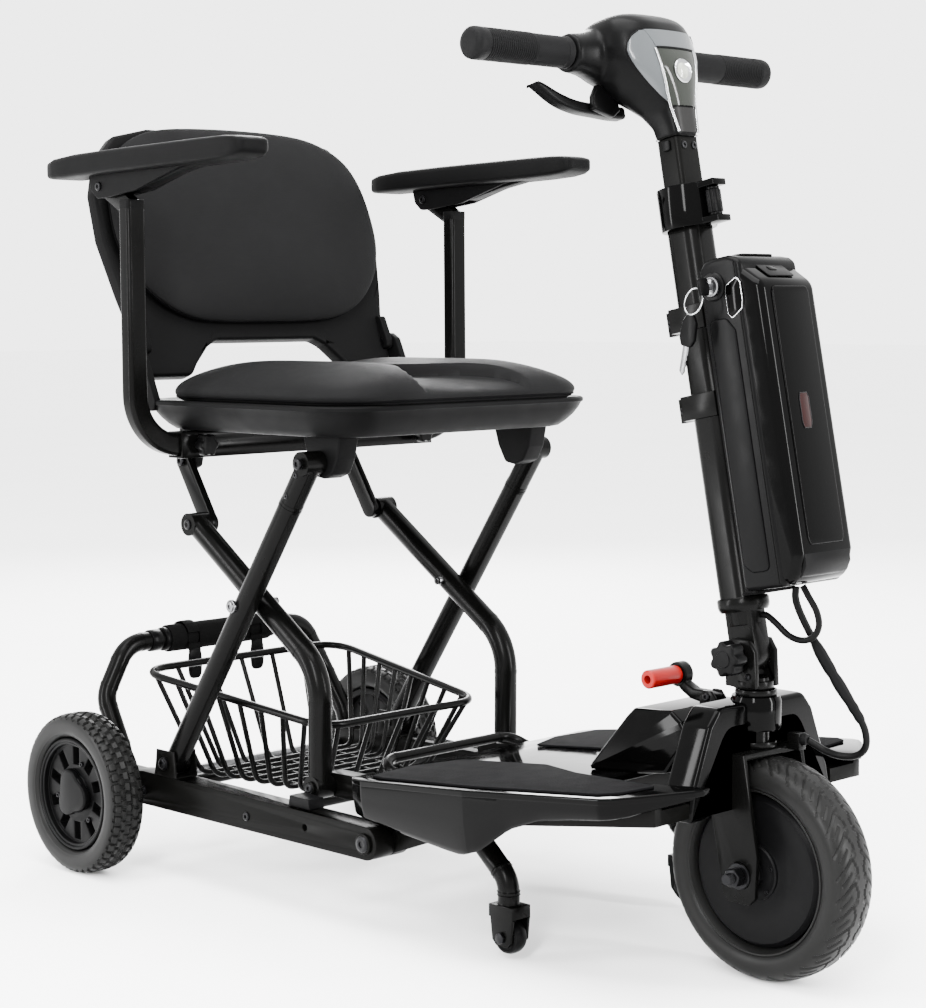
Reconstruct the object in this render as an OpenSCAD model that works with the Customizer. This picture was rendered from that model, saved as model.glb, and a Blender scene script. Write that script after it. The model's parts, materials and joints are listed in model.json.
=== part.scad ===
/* [Wheels] */
// Distance between the rear axle and the front axle
wheelbase = 886; // [860:1:910]
// Radius of the rear tyres
rear_tyre_r = 100; // [96:1:102]
// Width of the rear tyres
rear_tyre_w = 48; // [40:1:50]
// Radius of the front tyre
front_tyre_r = 117; // [110:1:118]
// Width of the front tyre
front_tyre_w = 63; // [54:1:66]
// Width over the outer faces of the rear tyres
track_w = 544; // [540:1:560]

/* [Frame] */
// Radius of the four scissor tubes
scissor_r = 14; // [12:0.5:14]
// Half of the width between the foot deck's widest corners
deck_half_w = 218; // [212:1:222]

/* [Seat] */
// Half of the seat shell's width
seat_half_w = 215; // [205:1:216]
// Distance from the centre plane to the middle of each armrest
arm_y = 262; // [260:1:266]
// Length of each armrest pad
arm_pad_len = 380; // [340:5:390]

/* [Tiller] */
// Backward lean of the tiller at rest, in degrees
tiller_lean = 10.7; // [9:0.1:12]
// Distance from the fold bolt to the handlebar, along the tiller
bar_height = 650; // [630:1:660]
// Half of the handlebar's width over the grips
bar_half_w = 236; // [220:1:240]

/* [Hidden] */
$fn = 48;

// Side-view points are [x, z], measured from the ground below the rear axle
left = 1;
right = -1;
rear_axle_z = 100;
front_axle_z = front_tyre_r;
fold_pivot = [476, 107];
outer_low = [106, 144];
outer_top = [369, 525];
inner_low = [344, 144];
inner_corner = [346, 281];
inner_end = [115, 437];
crossing = [242, 351];
link_top = [66, 512];
steer_x = wheelbase - 19;
knuckle = [860, 338];
back_hinge = [72, 655];
back_lean = 18;
arm_hinge = [97, 846];
lever_pivot = [808, 288];

// Middle of the whole object between its rearmost and foremost points
x_mid = (wheelbase + front_tyre_r - rear_tyre_r) / 2;

// Distances of the layers of the fold from the centre plane
inner_y = 153;
outer_y = 184;
link_y = 133;
arm_in_y = 118;
arm_out_y = 138.5;
rail_in_y = 171;
rail_out_y = 201;
run_gap = 0.3;
pin_gap = 0.06;

// Sizes shared by several pieces
pin_r = 5;
bolt_head_r = 8;
bolt_head_h = 4;
steerer_r = 14;
axle_r = 8;
front_axle_r = 6;
deck_top_rear = [443, 176];
deck_top_front = [905, 223];
deck_slope = atan2(deck_top_front[1] - deck_top_rear[1], deck_top_front[0] - deck_top_rear[0]);
lower_tube = [42, 42];
upper_tube_size = [30, 36];
lower_tube_top = 470;
arm_tube_size = [20, 26];
arm_run_z = 538;
arm_x = 143;
battery_x = [42, 118];
battery_z = [66, 407];
battery_half_w = 48;
battery_split = 88;

// Routes of the two cables, as [x, y, z] from the ground below the rear axle
harness_route = [
  [870.4, 6, 380.7], [876, 7, 380], [887, 9, 372], [900, 12, 361], [914, 15, 357],
  [927, 17, 361], [934, 18, 373], [932, 17, 388], [924, 15, 402], [917, 13, 414.2]];
motor_route = [
  [903, 20, 411], [902, 20.5, 400], [905, 22, 388], [911, 26, 372], [919, 31, 354], [929, 38, 332],
  [941, 46, 308], [952, 54, 286], [960, 60, 268], [962, 63, 252], [957, 64, 240],
  [946, 61, 234], [933, 54, 234], [922, 45, 239], [917, 37, 245], [911.8, 28.6, 251]];

// Moves a piece from the rear-axle origin to the row's origin, below the object's middle
module row() {
  translate([-x_mid, 0, 0]) children();
}

module rod(p, q, r) {
  v = q - p;
  translate(p) rotate([0, acos(v[2] / norm(v)), atan2(v[1], v[0])]) cylinder(h = norm(v), r = r);
}

// A side-view point carried to a distance y from the centre plane
function at(p, y) = [p[0], y, p[1]];

// A flat piece drawn in side view, between two distances on one side
module slab(y1, y2, side = left) {
  y_low = side > 0 ? y1 : -y2;
  translate([0, y_low + (y2 - y1), 0]) rotate([90, 0, 0]) linear_extrude(y2 - y1) children();
}

// A cross-ways pin or hole at a side-view point, between two distances on one side
module cross_pin(p, y1, y2, r, side = left) {
  rod(at(p, side * y1), at(p, side * y2), r);
}

module rounded_rect(w, h, r) {
  square([w - 2 * r, h], center = true);
  square([w, h - 2 * r], center = true);
  for (sx = [-1, 1], sy = [-1, 1]) translate([sx * (w / 2 - r), sy * (h / 2 - r)]) circle(r);
}

// A round tube through points, with a bend of one radius at each inner point
// and a thin sleeve over each seam between a straight run and a bend
seam_gap = 1;
seam_half = 2;
seam_step = 0.4;
function unit(v) = v / norm(v);
function turn(a, b, c) = acos(max(-1, min(1, unit(b - a) * unit(c - b))));
function cut(a, b, c, bend) = bend * tan(turn(a, b, c) / 2);
module bend_piece(a, b, c, r, bend) {
  u = unit(b - a);
  w = unit(c - b);
  n = unit(cross(u, w));
  side = cross(n, u);
  start = b - u * cut(a, b, c, bend);
  centre = start + side * bend;
  multmatrix([
    [-side[0], u[0], n[0], centre[0]],
    [-side[1], u[1], n[1], centre[1]],
    [-side[2], u[2], n[2], centre[2]],
    [0, 0, 0, 1]])
    rotate_extrude(angle = turn(a, b, c)) translate([bend, 0]) circle(r);
}
module bent_tube(points, r, bend) {
  last = len(points) - 1;
  for (i = [0:last - 1]) {
    u = unit(points[i + 1] - points[i]);
    trim_a = i == 0 ? 0 : cut(points[i - 1], points[i], points[i + 1], bend);
    trim_b = i == last - 1 ? 0 : cut(points[i], points[i + 1], points[i + 2], bend);
    from = points[i] + u * trim_a;
    to = points[i + 1] - u * trim_b;
    rod(i == 0 ? from : from + u * seam_gap, i == last - 1 ? to : to - u * seam_gap, r);
    if (i > 0) rod(from - u * seam_half, from + u * seam_half, r + seam_step);
    if (i < last - 1) rod(to - u * seam_half, to + u * seam_half, r + seam_step);
  }
  for (i = [1:last - 1]) bend_piece(points[i - 1], points[i], points[i + 1], r, bend);
}

// A cable: one closed sweep of a small polygon along a route
cable_sides = 8;
function along(route, i) =
  unit(route[min(i + 1, len(route) - 1)] - route[max(i - 1, 0)]);
function cable_ring(route, i, r) =
  let (t = along(route, i), a = unit(cross(t, [0.3, 1, 0.1])), b = cross(t, a))
  [for (k = [0:cable_sides - 1])
    route[i] + r * (cos(360 * k / cable_sides) * a + sin(360 * k / cable_sides) * b)];
module cable(route, r) {
  n = len(route);
  points = [for (i = [0:n - 1]) each cable_ring(route, i, r)];
  sides = [for (i = [0:n - 2], k = [0:cable_sides - 1])
    let (k2 = (k + 1) % cable_sides)
    [i * cable_sides + k, i * cable_sides + k2,
     (i + 1) * cable_sides + k2, (i + 1) * cable_sides + k]];
  first = [for (k = [cable_sides - 1:-1:0]) k];
  final = [for (k = [0:cable_sides - 1]) (n - 1) * cable_sides + k];
  polyhedron(points, concat(sides, [first, final]), convexity = 6);
}

// The tiller's own frame: origin at the fold bolt, +Z along the tiller, +X to the front
module tiller_frame() {
  translate([knuckle[0], 0, knuckle[1]]) rotate([0, -tiller_lean, 0]) children();
}

// The backrest's own frame: origin at its hinge, +Z up the back, +X to the front
module back_frame_axes() {
  translate([back_hinge[0], 0, back_hinge[1]]) rotate([0, -back_lean, 0]) children();
}

// Height of the footboard's underside at a distance x from the rear axle
board_t = 8;
function board_under(x) =
  deck_top_rear[1] + (x - deck_top_rear[0]) * tan(deck_slope) - board_t / cos(deck_slope) - 0.1;

module deck_frame() {
  lug_in_y = 150;
  lug_out_y = rail_in_y - run_gap;
  member_in_y = 159.5;
  bar_x = 500;
  front_bar_x = 700;
  fold_pin_r = 8;
  inner_head_y = inner_y + scissor_r + run_gap;
  color("#1c1c1e") row() {
    for (side = [left, right]) {
      cross_pin(fold_pivot, lug_in_y, lug_out_y, 19, side);
      cross_pin(fold_pivot, lug_out_y - 1, rail_out_y + 2, fold_pin_r, side);
      cross_pin(fold_pivot, rail_out_y + run_gap, rail_out_y + bolt_head_h, 12, side);
      slab(member_in_y, lug_out_y, side) polygon([
        [466, 122], [480, 90], [640, 150], [876, 186], [876, board_under(876)],
        [640, board_under(640)], [478, board_under(478)]]);
      cross_pin(inner_low, arm_in_y, arm_out_y, 15, side);
      slab(arm_in_y, arm_out_y, side)
        polygon([[344, 131], [bar_x + 10, 131], [bar_x + 10, 162], [344, 159]]);
      cross_pin(inner_low, arm_out_y - 1, inner_head_y + 1, pin_r, side);
      cross_pin(inner_low, inner_head_y, inner_head_y + 2.6, bolt_head_r, side);
      slab(117.05, member_in_y + 1, side) polygon([[840, 186], [876, 186], [876, 202], [840, 202]]);
    }
    slab(-member_in_y - 1, member_in_y + 1) polygon([
      [bar_x, 146], [bar_x + 18, 146], [bar_x + 18, 173], [bar_x, 173]]);
    slab(-member_in_y - 1, member_in_y + 1) polygon([
      [front_bar_x, 170], [front_bar_x + 20, 172], [front_bar_x + 20, board_under(front_bar_x)],
      [front_bar_x, board_under(front_bar_x)]]);
  }
}

// Half outlines of the deck in plan; the notch leaves room for the steered wheel
notch_x = 752;
notch_y = 118;
module deck_plan() {
  for (s = [0, 1]) mirror([0, s]) polygon([
    [443, 0], [443, 196], [470, 204], [650, deck_half_w], [846, deck_half_w - 6],
    [862, deck_half_w - 22], [906, 134], [906, notch_y], [notch_x, notch_y], [notch_x, 0]]);
}

module deck_plane() {
  translate([deck_top_rear[0], 0, deck_top_rear[1]]) rotate([0, -deck_slope, 0])
    translate([-deck_top_rear[0], 0, 0]) children();
}

module footboard() {
  skirt_t = 4;
  color("#131315") row() {
    deck_plane() translate([0, 0, -board_t]) linear_extrude(board_t) deck_plan();
    for (side = [left, right]) intersection() {
      slab(190, deck_half_w + 2, side) polygon([
        [443, 170], [434, 134], [628, 122], [660, 128], [720, 168], [800, 186], [868, 196],
        [880, 216], [640, 192]]);
      difference() {
        translate([0, 0, 100]) linear_extrude(130) deck_plan();
        translate([-10, 0, 99]) linear_extrude(132) inside_plan(skirt_t);
      }
    }
  }
}

// The deck's plan drawn smaller, the space inside its skirts
module inside_plan(t) {
  for (s = [0, 1]) mirror([0, s]) polygon([
    [400, 0], [400, 196 - t], [470, 204 - t], [650, deck_half_w - t],
    [856, deck_half_w - 6 - t], [872, deck_half_w - 22 - t], [930, 120], [930, 0]]);
}

module grip_pads() {
  color("#2b2b30") row() deck_plane() translate([0, 0, 0]) linear_extrude(2.4)
    for (s = [0, 1]) mirror([0, s]) polygon([
      [492, 60], [492, 176], [512, 192], [650, 204], [828, 200], [846, 184],
      [852, 132], [700, 96], [620, 60]]);
}

module centre_cover() {
  color("#101012") row() difference() {
    slab(-64, 64) polygon([
      [684, 202], [745, 270], [756, 277], [800, 279], [826, 262], [826, 240],
      [806, 226], [760, 209]]);
    slab(-59, 59) polygon([
      [696, 200], [750, 264], [760, 272], [798, 274], [827, 250], [827, 220], [760, 200]]);
  }
  color("#101012") row() {
    for (side = [left, right]) slab(6.4, 9.4, side) polygon([
      [798, 276.5], [818, 265.5], [818, 290], [813, 295], [803, 295], [798, 290]]);
    cross_pin(lever_pivot, -8, 8, 3, left);
  }
}

module front_arch() {
  color("#151517") row() {
    difference() {
      union() {
        translate([838, 0, 0]) rotate([90, 0, 90]) linear_extrude(38) difference() {
          polygon([[-117, 186], [-113, 206], [-84, 276], [-70, 292], [70, 292], [84, 276],
            [113, 206], [117, 186]]);
          polygon([[-84, 180], [-84, 200], [-62, 258], [-54, 266], [54, 266], [62, 258],
            [84, 200], [84, 180]]);
        }
        translate([steer_x, 0, 243]) cylinder(h = 61, r = 20);
      }
      translate([steer_x, 0, 240]) cylinder(h = 70, r = steerer_r + pin_gap);
    }
  }
}

module lift_bar() {
  leg_y = 110;
  low_z = 160;
  top = [400, 176];
  color("#1a1a1c") row() bent_tube([
    [499.95, -leg_y, low_z], [436, -leg_y, low_z], at(top, -leg_y), at(top, leg_y),
    [436, leg_y, low_z], [499.95, leg_y, low_z]], 6, 24);
}

caster_at = [650, 27];
caster_r = 19;
caster_y = 147;
caster_pin_r = 4;
module caster_stems() {
  color("#18181a") row() for (side = [left, right]) {
    bent_tube([
      [596, side * caster_y, board_under(584)], [596, side * caster_y, 132],
      [648, side * caster_y, 88], [648, side * caster_y, 55]], 12, 30);
    slab(caster_y - 14, caster_y + 14, side)
      polygon([[631, 48], [667, 48], [667, 62], [631, 62]]);
    for (y = [caster_y - 14, caster_y + 10]) slab(y, y + 4, side)
      polygon([[633, 50], [636, 24], [642, 18], [658, 18], [664, 24], [667, 50]]);
    cross_pin(caster_at, caster_y - 12, caster_y + 12, caster_pin_r, side);
  }
}

module caster(side) {
  color("#242427") row() difference() {
    cross_pin(caster_at, caster_y - 9, caster_y + 9, caster_r, side);
    cross_pin(caster_at, caster_y - 12, caster_y + 12, caster_pin_r + pin_gap, side);
  }
}
module caster_left() caster(left);
module caster_right() caster(right);

module rear_frame() {
  cheek_t = 2.4;
  color("#19191b") row() {
    for (side = [left, right]) {
      difference() {
        union() {
          slab(rail_in_y, rail_out_y, side) polygon([
            [-14, 88], [40, 86], [476, 88], [476, 126], [60, 128], [30, 124], [-14, 124]]);
          cross_pin(fold_pivot, rail_in_y, rail_out_y, 19, side);
        }
        cross_pin(fold_pivot, rail_in_y - 1, rail_out_y + 1, 8 + pin_gap, side);
        cross_pin([0, rear_axle_z], rail_in_y - 1, rail_out_y + 1, axle_r, side);
        cross_pin([372, 108], rail_in_y - 1, rail_out_y + 1, 4, side);
      }
      difference() {
        union() {
          slab(outer_y - scissor_r - run_gap - cheek_t, outer_y - scissor_r - run_gap, side)
            polygon([[84, 126], [128, 126], [124, 160], [88, 160]]);
          slab(outer_y + scissor_r + run_gap, outer_y + scissor_r + run_gap + cheek_t, side)
            polygon([[84, 126], [128, 126], [124, 160], [88, 160]]);
          slab(outer_y - scissor_r - run_gap - cheek_t, rail_out_y - 1, side)
            translate([84, 125]) square([44, 3]);
        }
        cross_pin(outer_low, 160, 210, pin_r, side);
      }
    }
    for (x = [62, 266]) rod([x, -rail_in_y - 2, basket_floor_z - 8.1],
      [x, rail_in_y + 2, basket_floor_z - 8.1], 8);
  }
}

module rear_axle() {
  color("#9a9a9c") row() rod([0, -track_w / 2 + 14, rear_axle_z], [0, track_w / 2 - 14, rear_axle_z], axle_r);
}

module carry_hoop() {
  color("#1a1a1c") row() bent_tube([
    [-2, -186, 124.05], [-2, -186, 140], [-46, -182, 206], [-48, -146, 270],
    [-48, 146, 270], [-46, 182, 206], [-2, 186, 140], [-2, 186, 124.05]], 12, 40);
}

module hoop_pad() {
  color("#232325") row() difference() {
    rod([-48, -84, 270], [-48, 84, 270], 18);
    rod([-48, -86, 270], [-48, 86, 270], 12 + pin_gap);
  }
}

// Basket: a tapering open-topped tray, wider at the back
basket_back = [4, 168, 246];
basket_front = [326, 130, 210];
basket_floor_z = 112;
module basket() {
  wall = 3;
  color("#161618") row() difference() {
    slab(-180, 180) polygon([
      [basket_back[0], basket_back[2]], [basket_front[0], basket_front[2]],
      [276, basket_floor_z], [56, basket_floor_z]]);
    slab(-190, 190) polygon([
      [basket_back[0] + wall, basket_back[2] + 1], [basket_front[0] - wall, basket_front[2] + 1],
      [276 - wall, basket_floor_z + wall], [56 + wall, basket_floor_z + wall]]);
    for (side = [left, right]) basket_side_cut(side, 0);
  }
  color("#161618") row() for (side = [left, right]) intersection() {
    slab(-180, 180) polygon([
      [basket_back[0], basket_back[2]], [basket_front[0], basket_front[2]],
      [276, basket_floor_z], [56, basket_floor_z]]);
    difference() {
      basket_side_cut(side, -wall);
      basket_side_cut(side, 0);
    }
  }
}

// Everything outside the slanted side wall of the basket, moved outwards by d
module basket_side_cut(side, d) {
  slant = atan2(basket_back[1] - basket_front[1], basket_front[0] - basket_back[0]);
  mirror([0, side > 0 ? 0 : 1, 0])
    translate([basket_back[0], basket_back[1] + d, basket_back[2]]) rotate([-16, 0, -slant])
      translate([-100, 0, -220]) cube([600, 200, 300]);
}

module basket_straps() {
  color("#2a2a2c") row() for (y = [-52, 52]) {
    difference() {
      rod([-48, y - 9, 270], [-48, y + 9, 270], 19.6);
      rod([-48, y - 10, 270], [-48, y + 10, 270], 18.05);
    }
    translate([-30, y - 9, 236]) cube([1.6, 18, 34]);
  }
}

module rail_buffers() {
  color("#1f1f21") row() for (side = [left, right]) slab(rail_in_y + 1, rail_out_y - 6, side)
    polygon([[336, 127], [374, 127], [372, 139], [338, 140]]);
}

module pivot_bolts() {
  color("#8f9092") row() for (side = [left, right]) {
    cross_pin(outer_low, 165, 203, pin_r, side);
    cross_pin(outer_low, 201.2, 205, bolt_head_r, side);
  }
}

module rear_rim(side) {
  y_in = track_w / 2 - rear_tyre_w + 4;
  y_out = track_w / 2 - 6;
  color("#1d1d1f") row() difference() {
    union() {
      difference() {
        cross_pin([0, rear_axle_z], y_in, y_out, 70, side);
        cross_pin([0, rear_axle_z], y_in - 1, y_in + 14, 62, side);
        cross_pin([0, rear_axle_z], y_out - 7, y_out + 1, 62, side);
        for (k = [0:9]) translate([0, 0, rear_axle_z]) rotate([0, 36 * k, 0])
          translate([0, side * (y_in + y_out) / 2, 47]) cube([13, 60, 22], center = true);
      }
      cross_pin([0, rear_axle_z], y_in - 2, y_out, 24, side);
    }
    cross_pin([0, rear_axle_z], y_in - 4, y_out - 7, axle_r + pin_gap, side);
  }
}
module rear_rim_left() rear_rim(left);
module rear_rim_right() rear_rim(right);

// A tyre: a rounded tread section turned about the axle
module tyre_section(r_in, r_out, w, shoulder) {
  translate([r_in, -w / 2]) square([r_out - shoulder - r_in, w]);
  translate([r_in, -w / 2 + shoulder]) square([r_out - r_in, w - 2 * shoulder]);
  for (s = [-1, 1]) translate([r_out - shoulder, s * (w / 2 - shoulder)]) circle(shoulder);
}

module rear_tyre(side) {
  color("#1b1b1c") row() translate([0, side * (track_w - rear_tyre_w) / 2, rear_axle_z])
    rotate([90, 0, 0]) rotate_extrude($fn = 96) tyre_section(70, rear_tyre_r, rear_tyre_w, 12);
}
module rear_tyre_left() rear_tyre(left);
module rear_tyre_right() rear_tyre(right);

module outer_tube(side) {
  y = side * outer_y;
  color("#202022") row() difference() {
    union() {
      rod(at(outer_low, y), at(outer_top, y), scissor_r);
      cross_pin(outer_low, outer_y - scissor_r, outer_y + scissor_r, scissor_r, side);
      cross_pin(outer_top, outer_y - scissor_r, outer_y + scissor_r, scissor_r, side);
    }
    bore_along(outer_low, outer_top, y);
    cross_pin(outer_low, 160, 210, pin_r + pin_gap, side);
    cross_pin(outer_top, 160, 210, pin_r + pin_gap, side);
    cross_pin(crossing, 160, 210, pin_r, side);
  }
}

// The hollow of a tube between two of its points, short of both ends
module bore_along(p, q, y) {
  u = unit(at(q, y) - at(p, y));
  rod(at(p, y) + 24 * u, at(q, y) - 24 * u, scissor_r - 2);
}
module outer_tube_left() outer_tube(left);
module outer_tube_right() outer_tube(right);

module crossing_bolts() {
  color("#9c9d9f") row() for (side = [left, right]) {
    cross_pin(crossing, outer_y - scissor_r, outer_y + scissor_r + 1, pin_r, side);
    cross_pin(crossing, outer_y + scissor_r, outer_y + scissor_r + bolt_head_h, bolt_head_r, side);
  }
}

module inner_tube(side) {
  y = side * inner_y;
  color("#202022") row() {
    difference() {
      union() {
        bent_tube([at(inner_low, y), at(inner_corner, y), at(inner_end, y)], scissor_r, 70);
        cross_pin(inner_low, inner_y - scissor_r, inner_y + scissor_r, scissor_r, side);
        cross_pin(inner_end, inner_y - scissor_r, inner_y + scissor_r, scissor_r, side);
        cross_pin(inner_end, inner_y, inner_y + scissor_r + 1.5, pin_r, side);
        cross_pin(crossing, inner_y - scissor_r - 7, inner_y, pin_r, side);
      }
      rod(at(inner_low, y) + [0, 0, 22], at([inner_low[0] + 1, 236], y), scissor_r - 2);
      cross_pin(inner_low, 120, 170, pin_r + pin_gap, side);
    }
  }
}
module inner_tube_left() inner_tube(left);
module inner_tube_right() inner_tube(right);

module link(side) {
  half_t = 5;
  color("#1e1e20") row() difference() {
    union() {
      for (p = [link_top, inner_end]) cross_pin(p, link_y - half_t, link_y + half_t, 12, side);
      slab(link_y - half_t, link_y + half_t, side) polygon([
        [link_top[0] - 10, link_top[1] - 6], [link_top[0] + 10, link_top[1] + 6],
        [inner_end[0] + 11, inner_end[1] + 4], [inner_end[0] - 10, inner_end[1] - 7]]);
    }
    cross_pin(link_top, 120, 150, pin_r + pin_gap, side);
  }
}
module link_left() link(left);
module link_right() link(right);

module seat_base() {
  bracket_in = 140;
  bracket_out = outer_y - scissor_r - 1;
  color("#1d1d1f") row() {
    translate([262, 0, 566]) linear_extrude(24) rounded_rect(390, 2 * seat_half_w, 60);
    translate([262, 0, 555.1]) linear_extrude(12) rounded_rect(350, 2 * seat_half_w - 36, 50);
    for (side = [left, right]) {
      slab(bracket_in, bracket_out, side) polygon([
        [340, 558], [402, 558], [398, 530], [388, 512], [374, 507], [358, 509], [346, 530]]);
      cross_pin(outer_top, bracket_out - 2, outer_y + scissor_r + 1, pin_r, side);
      cross_pin(outer_top, outer_y + scissor_r + run_gap, outer_y + scissor_r + 4, bolt_head_r, side);
      slab(116, link_y - 5 - run_gap, side) polygon([
        [46, 568], [96, 568], [80, 505], [66, 499], [54, 505]]);
      cross_pin(link_top, 116, link_y + 7, pin_r, side);
      slab(206, 215, side) polygon([
        [88, 580], [58, 586], [56, 650], [62, 662], [72, 667], [84, 660], [110, 590], [110, 580]]);
      cross_pin(back_hinge, 192, 209, pin_r, side);
    }
  }
}

module seat_cushion() {
  color("#303034") row() intersection() {
    slab(-204, 204) polygon([
      [98, 590.4], [456, 590.4], [458, 604], [440, 620], [390, 634], [260, 640], [160, 634],
      [110, 618], [98, 604]]);
    translate([277, 0, 580]) linear_extrude(70) rounded_rect(362, 404, 70);
  }
}

module armrest_receiver() {
  outer = [arm_tube_size[0] + 8, arm_tube_size[1] + 6];
  color("#121214") row() {
    difference() {
      translate([arm_x - outer[0] / 2, -205, arm_run_z - outer[1] / 2])
        cube([outer[0], 410, outer[1]]);
      translate([arm_x - arm_tube_size[0] / 2 - run_gap, -206, arm_run_z - arm_tube_size[1] / 2 - run_gap])
        cube([arm_tube_size[0] + 2 * run_gap, 412, arm_tube_size[1] + 2 * run_gap]);
      for (side = [left, right]) rod([150, side * 178, arm_run_z], [162, side * 178, arm_run_z], 4 + pin_gap);
    }
  }
}

// A clamp knob with rounded lobes, its stem along -Z
module star_knob(r, h, lobes, stem_r, stem) {
  union() {
    cylinder(h = h, r = r * 0.78);
    for (k = [0:lobes - 1]) rotate([0, 0, 360 * k / lobes]) translate([r * 0.74, 0, 0])
      cylinder(h = h, r = r * 0.26);
    translate([0, 0, -6]) cylinder(h = 7, r = r * 0.5);
    translate([0, 0, -stem]) cylinder(h = stem, r = stem_r);
  }
}

module width_knob(side) {
  color("#1a1a1c") row() translate([arm_x + 14 + 6.5, side * 178, arm_run_z]) rotate([0, 90, 0])
    star_knob(14, 13, 6, 4, 9);
}
module width_knob_left() width_knob(left);
module width_knob_right() width_knob(right);

module back_frame() {
  color("#1c1c1f") row() difference() {
    union() {
      back_frame_axes() translate([-24, 0, 0]) rotate([90, 0, 90]) linear_extrude(22)
        difference() {
          polygon([
            [-203, -38], [203, -38], [203, 30], [212, 70], [224, 140], [222, 200], [204, 248],
            [176, 276], [120, 290], [-120, 290], [-176, 276], [-204, 248], [-222, 200],
            [-224, 140], [-212, 70], [-203, 30]]);
          polygon([[-132, -39], [-118, -22], [-96, 0], [-80, 8], [80, 8], [96, 0], [118, -22], [132, -39]]);
        }
      for (side = [left, right]) {
        cross_pin(back_hinge, 193, 203, 12, side);
        back_frame_axes() translate([-14, side > 0 ? 193 : -203, 0]) cube([20, 10, 30]);
      }
    }
    for (side = [left, right]) cross_pin(back_hinge, 190, 210, pin_r + pin_gap, side);
  }
}

module back_cushion() {
  color("#2d2d31") row() back_frame_axes() translate([-1.6, 0, 0]) rotate([90, 0, 90]) linear_extrude(34)
    polygon([
      [-88, 30], [88, 30], [136, 44], [170, 74], [194, 110], [205, 145], [204, 180], [190, 222],
      [156, 254], [110, 280], [-110, 280], [-156, 254], [-190, 222], [-204, 180], [-205, 145],
      [-194, 110], [-170, 74], [-136, 44]]);
}

module arm_tube(side) {
  bend = 62;
  post_top = 828;
  color("#1a1a1c") row() mirror([0, side > 0 ? 0 : 1, 0]) {
    translate([arm_x, arm_y, arm_run_z + bend]) linear_extrude(post_top - arm_run_z - bend)
      rounded_rect(arm_tube_size[0], arm_tube_size[1], 5);
    translate([arm_x, 96, arm_run_z]) rotate([-90, 0, 0]) linear_extrude(arm_y - bend - 96)
      rounded_rect(arm_tube_size[0], arm_tube_size[1], 5);
    translate([arm_x, arm_y - bend, arm_run_z + bend]) rotate([0, 90, 0]) arm_bend(bend);
    difference() {
      slab(arm_y - 7, arm_y + 7) polygon([
        [88, 838], [91, 854], [104, 856], [151, 828], [151, 812], [135, 812]]);
      cross_pin(arm_hinge, arm_y - 20, arm_y + 20, pin_r + pin_gap, left);
    }
  }
}

// Quarter bend of the armrest tube, from its level run to its upright post
module arm_bend(bend) {
  rotate_extrude(angle = 90) translate([bend, 0])
    rounded_rect(arm_tube_size[1], arm_tube_size[0], 5);
}
module arm_tube_left() arm_tube(left);
module arm_tube_right() arm_tube(right);

module arm_pad(side) {
  pad_x = -4;
  half_w = 28;
  color("#222225") row() mirror([0, side > 0 ? 0 : 1, 0]) {
    intersection() {
      slab(arm_y - half_w, arm_y + half_w) polygon([
        [pad_x, 862], [pad_x + 6, 876], [pad_x + 40, 884], [pad_x + arm_pad_len - 20, 892],
        [pad_x + arm_pad_len, 886], [pad_x + arm_pad_len - 2, 872], [pad_x + arm_pad_len - 60, 864],
        [pad_x + 20, 857]]);
      translate([pad_x + arm_pad_len / 2, arm_y, 850]) linear_extrude(50)
        rounded_rect(arm_pad_len, 2 * half_w, 26);
    }
    difference() {
      slab(arm_y - 14, arm_y + 14) polygon([
        [78, 862], [300, 870], [230, 856], [168, 838], [110, 833], [92, 832], [82, 840]]);
      slab(arm_y - 8, arm_y + 8) polygon([
        [60, 859], [175, 859], [175, 800], [60, 800]]);
    }
    cross_pin(arm_hinge, arm_y - 16, arm_y + 16, pin_r, left);
  }
}
module arm_pad_left() arm_pad(left);
module arm_pad_right() arm_pad(right);

module fork() {
  leg_y = [44, 50];
  color("#1b1b1d") row() {
    translate([steer_x, 0, 234]) cylinder(h = 82, r = steerer_r);
    translate([842, -leg_y[1], 236]) cube([48, 2 * leg_y[1], 6.6]);
    for (side = [left, right]) difference() {
      slab(leg_y[0], leg_y[1], side) polygon([
        [842, 242.6], [890, 242.6], [908, 140], [906, 96], [898, 88], [872, 88], [864, 96],
        [846, 190]]);
      cross_pin([wheelbase, front_axle_z], 40, 56, front_axle_r, side);
    }
    difference() {
      union() {
        translate([steer_x - 3, 0, 304.4]) cylinder(h = 8, r = 21);
        for (side = [left, right]) slab(13, 20, side) polygon([
          [842, 306], [882, 306], [880, 344], [872, 356], [850, 356], [842, 344]]);
      }
      cross_pin(knuckle, -30, 30, pin_r, left);
    }
    translate([892, 20, 244]) cube([16, 12, 14]);
    translate([874, 20, 240]) cube([34, 12, 6]);
  }
}

module front_axle() {
  color("#a4a5a7") row() {
    rod([wheelbase, -66, front_axle_z], [wheelbase, 66, front_axle_z], front_axle_r);
    for (side = [left, right]) {
      cross_pin([wheelbase, front_axle_z], 52, 60, 10, side);
      cross_pin([wheelbase, front_axle_z], 50, 52, 13, side);
    }
  }
}

module motor_hub() {
  color("#1a1a1c") row() difference() {
    union() {
      cross_pin([wheelbase, front_axle_z], -25, 25, 80, left);
      cross_pin([wheelbase, front_axle_z], -36, 36, 30, left);
    }
    cross_pin([wheelbase, front_axle_z], -40, 40, front_axle_r + pin_gap, left);
  }
}

module front_tyre() {
  color("#1e1e1f") row() translate([wheelbase, 0, front_axle_z]) rotate([90, 0, 0])
    rotate_extrude($fn = 96) tyre_section(80, front_tyre_r, front_tyre_w, 18);
}

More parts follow.
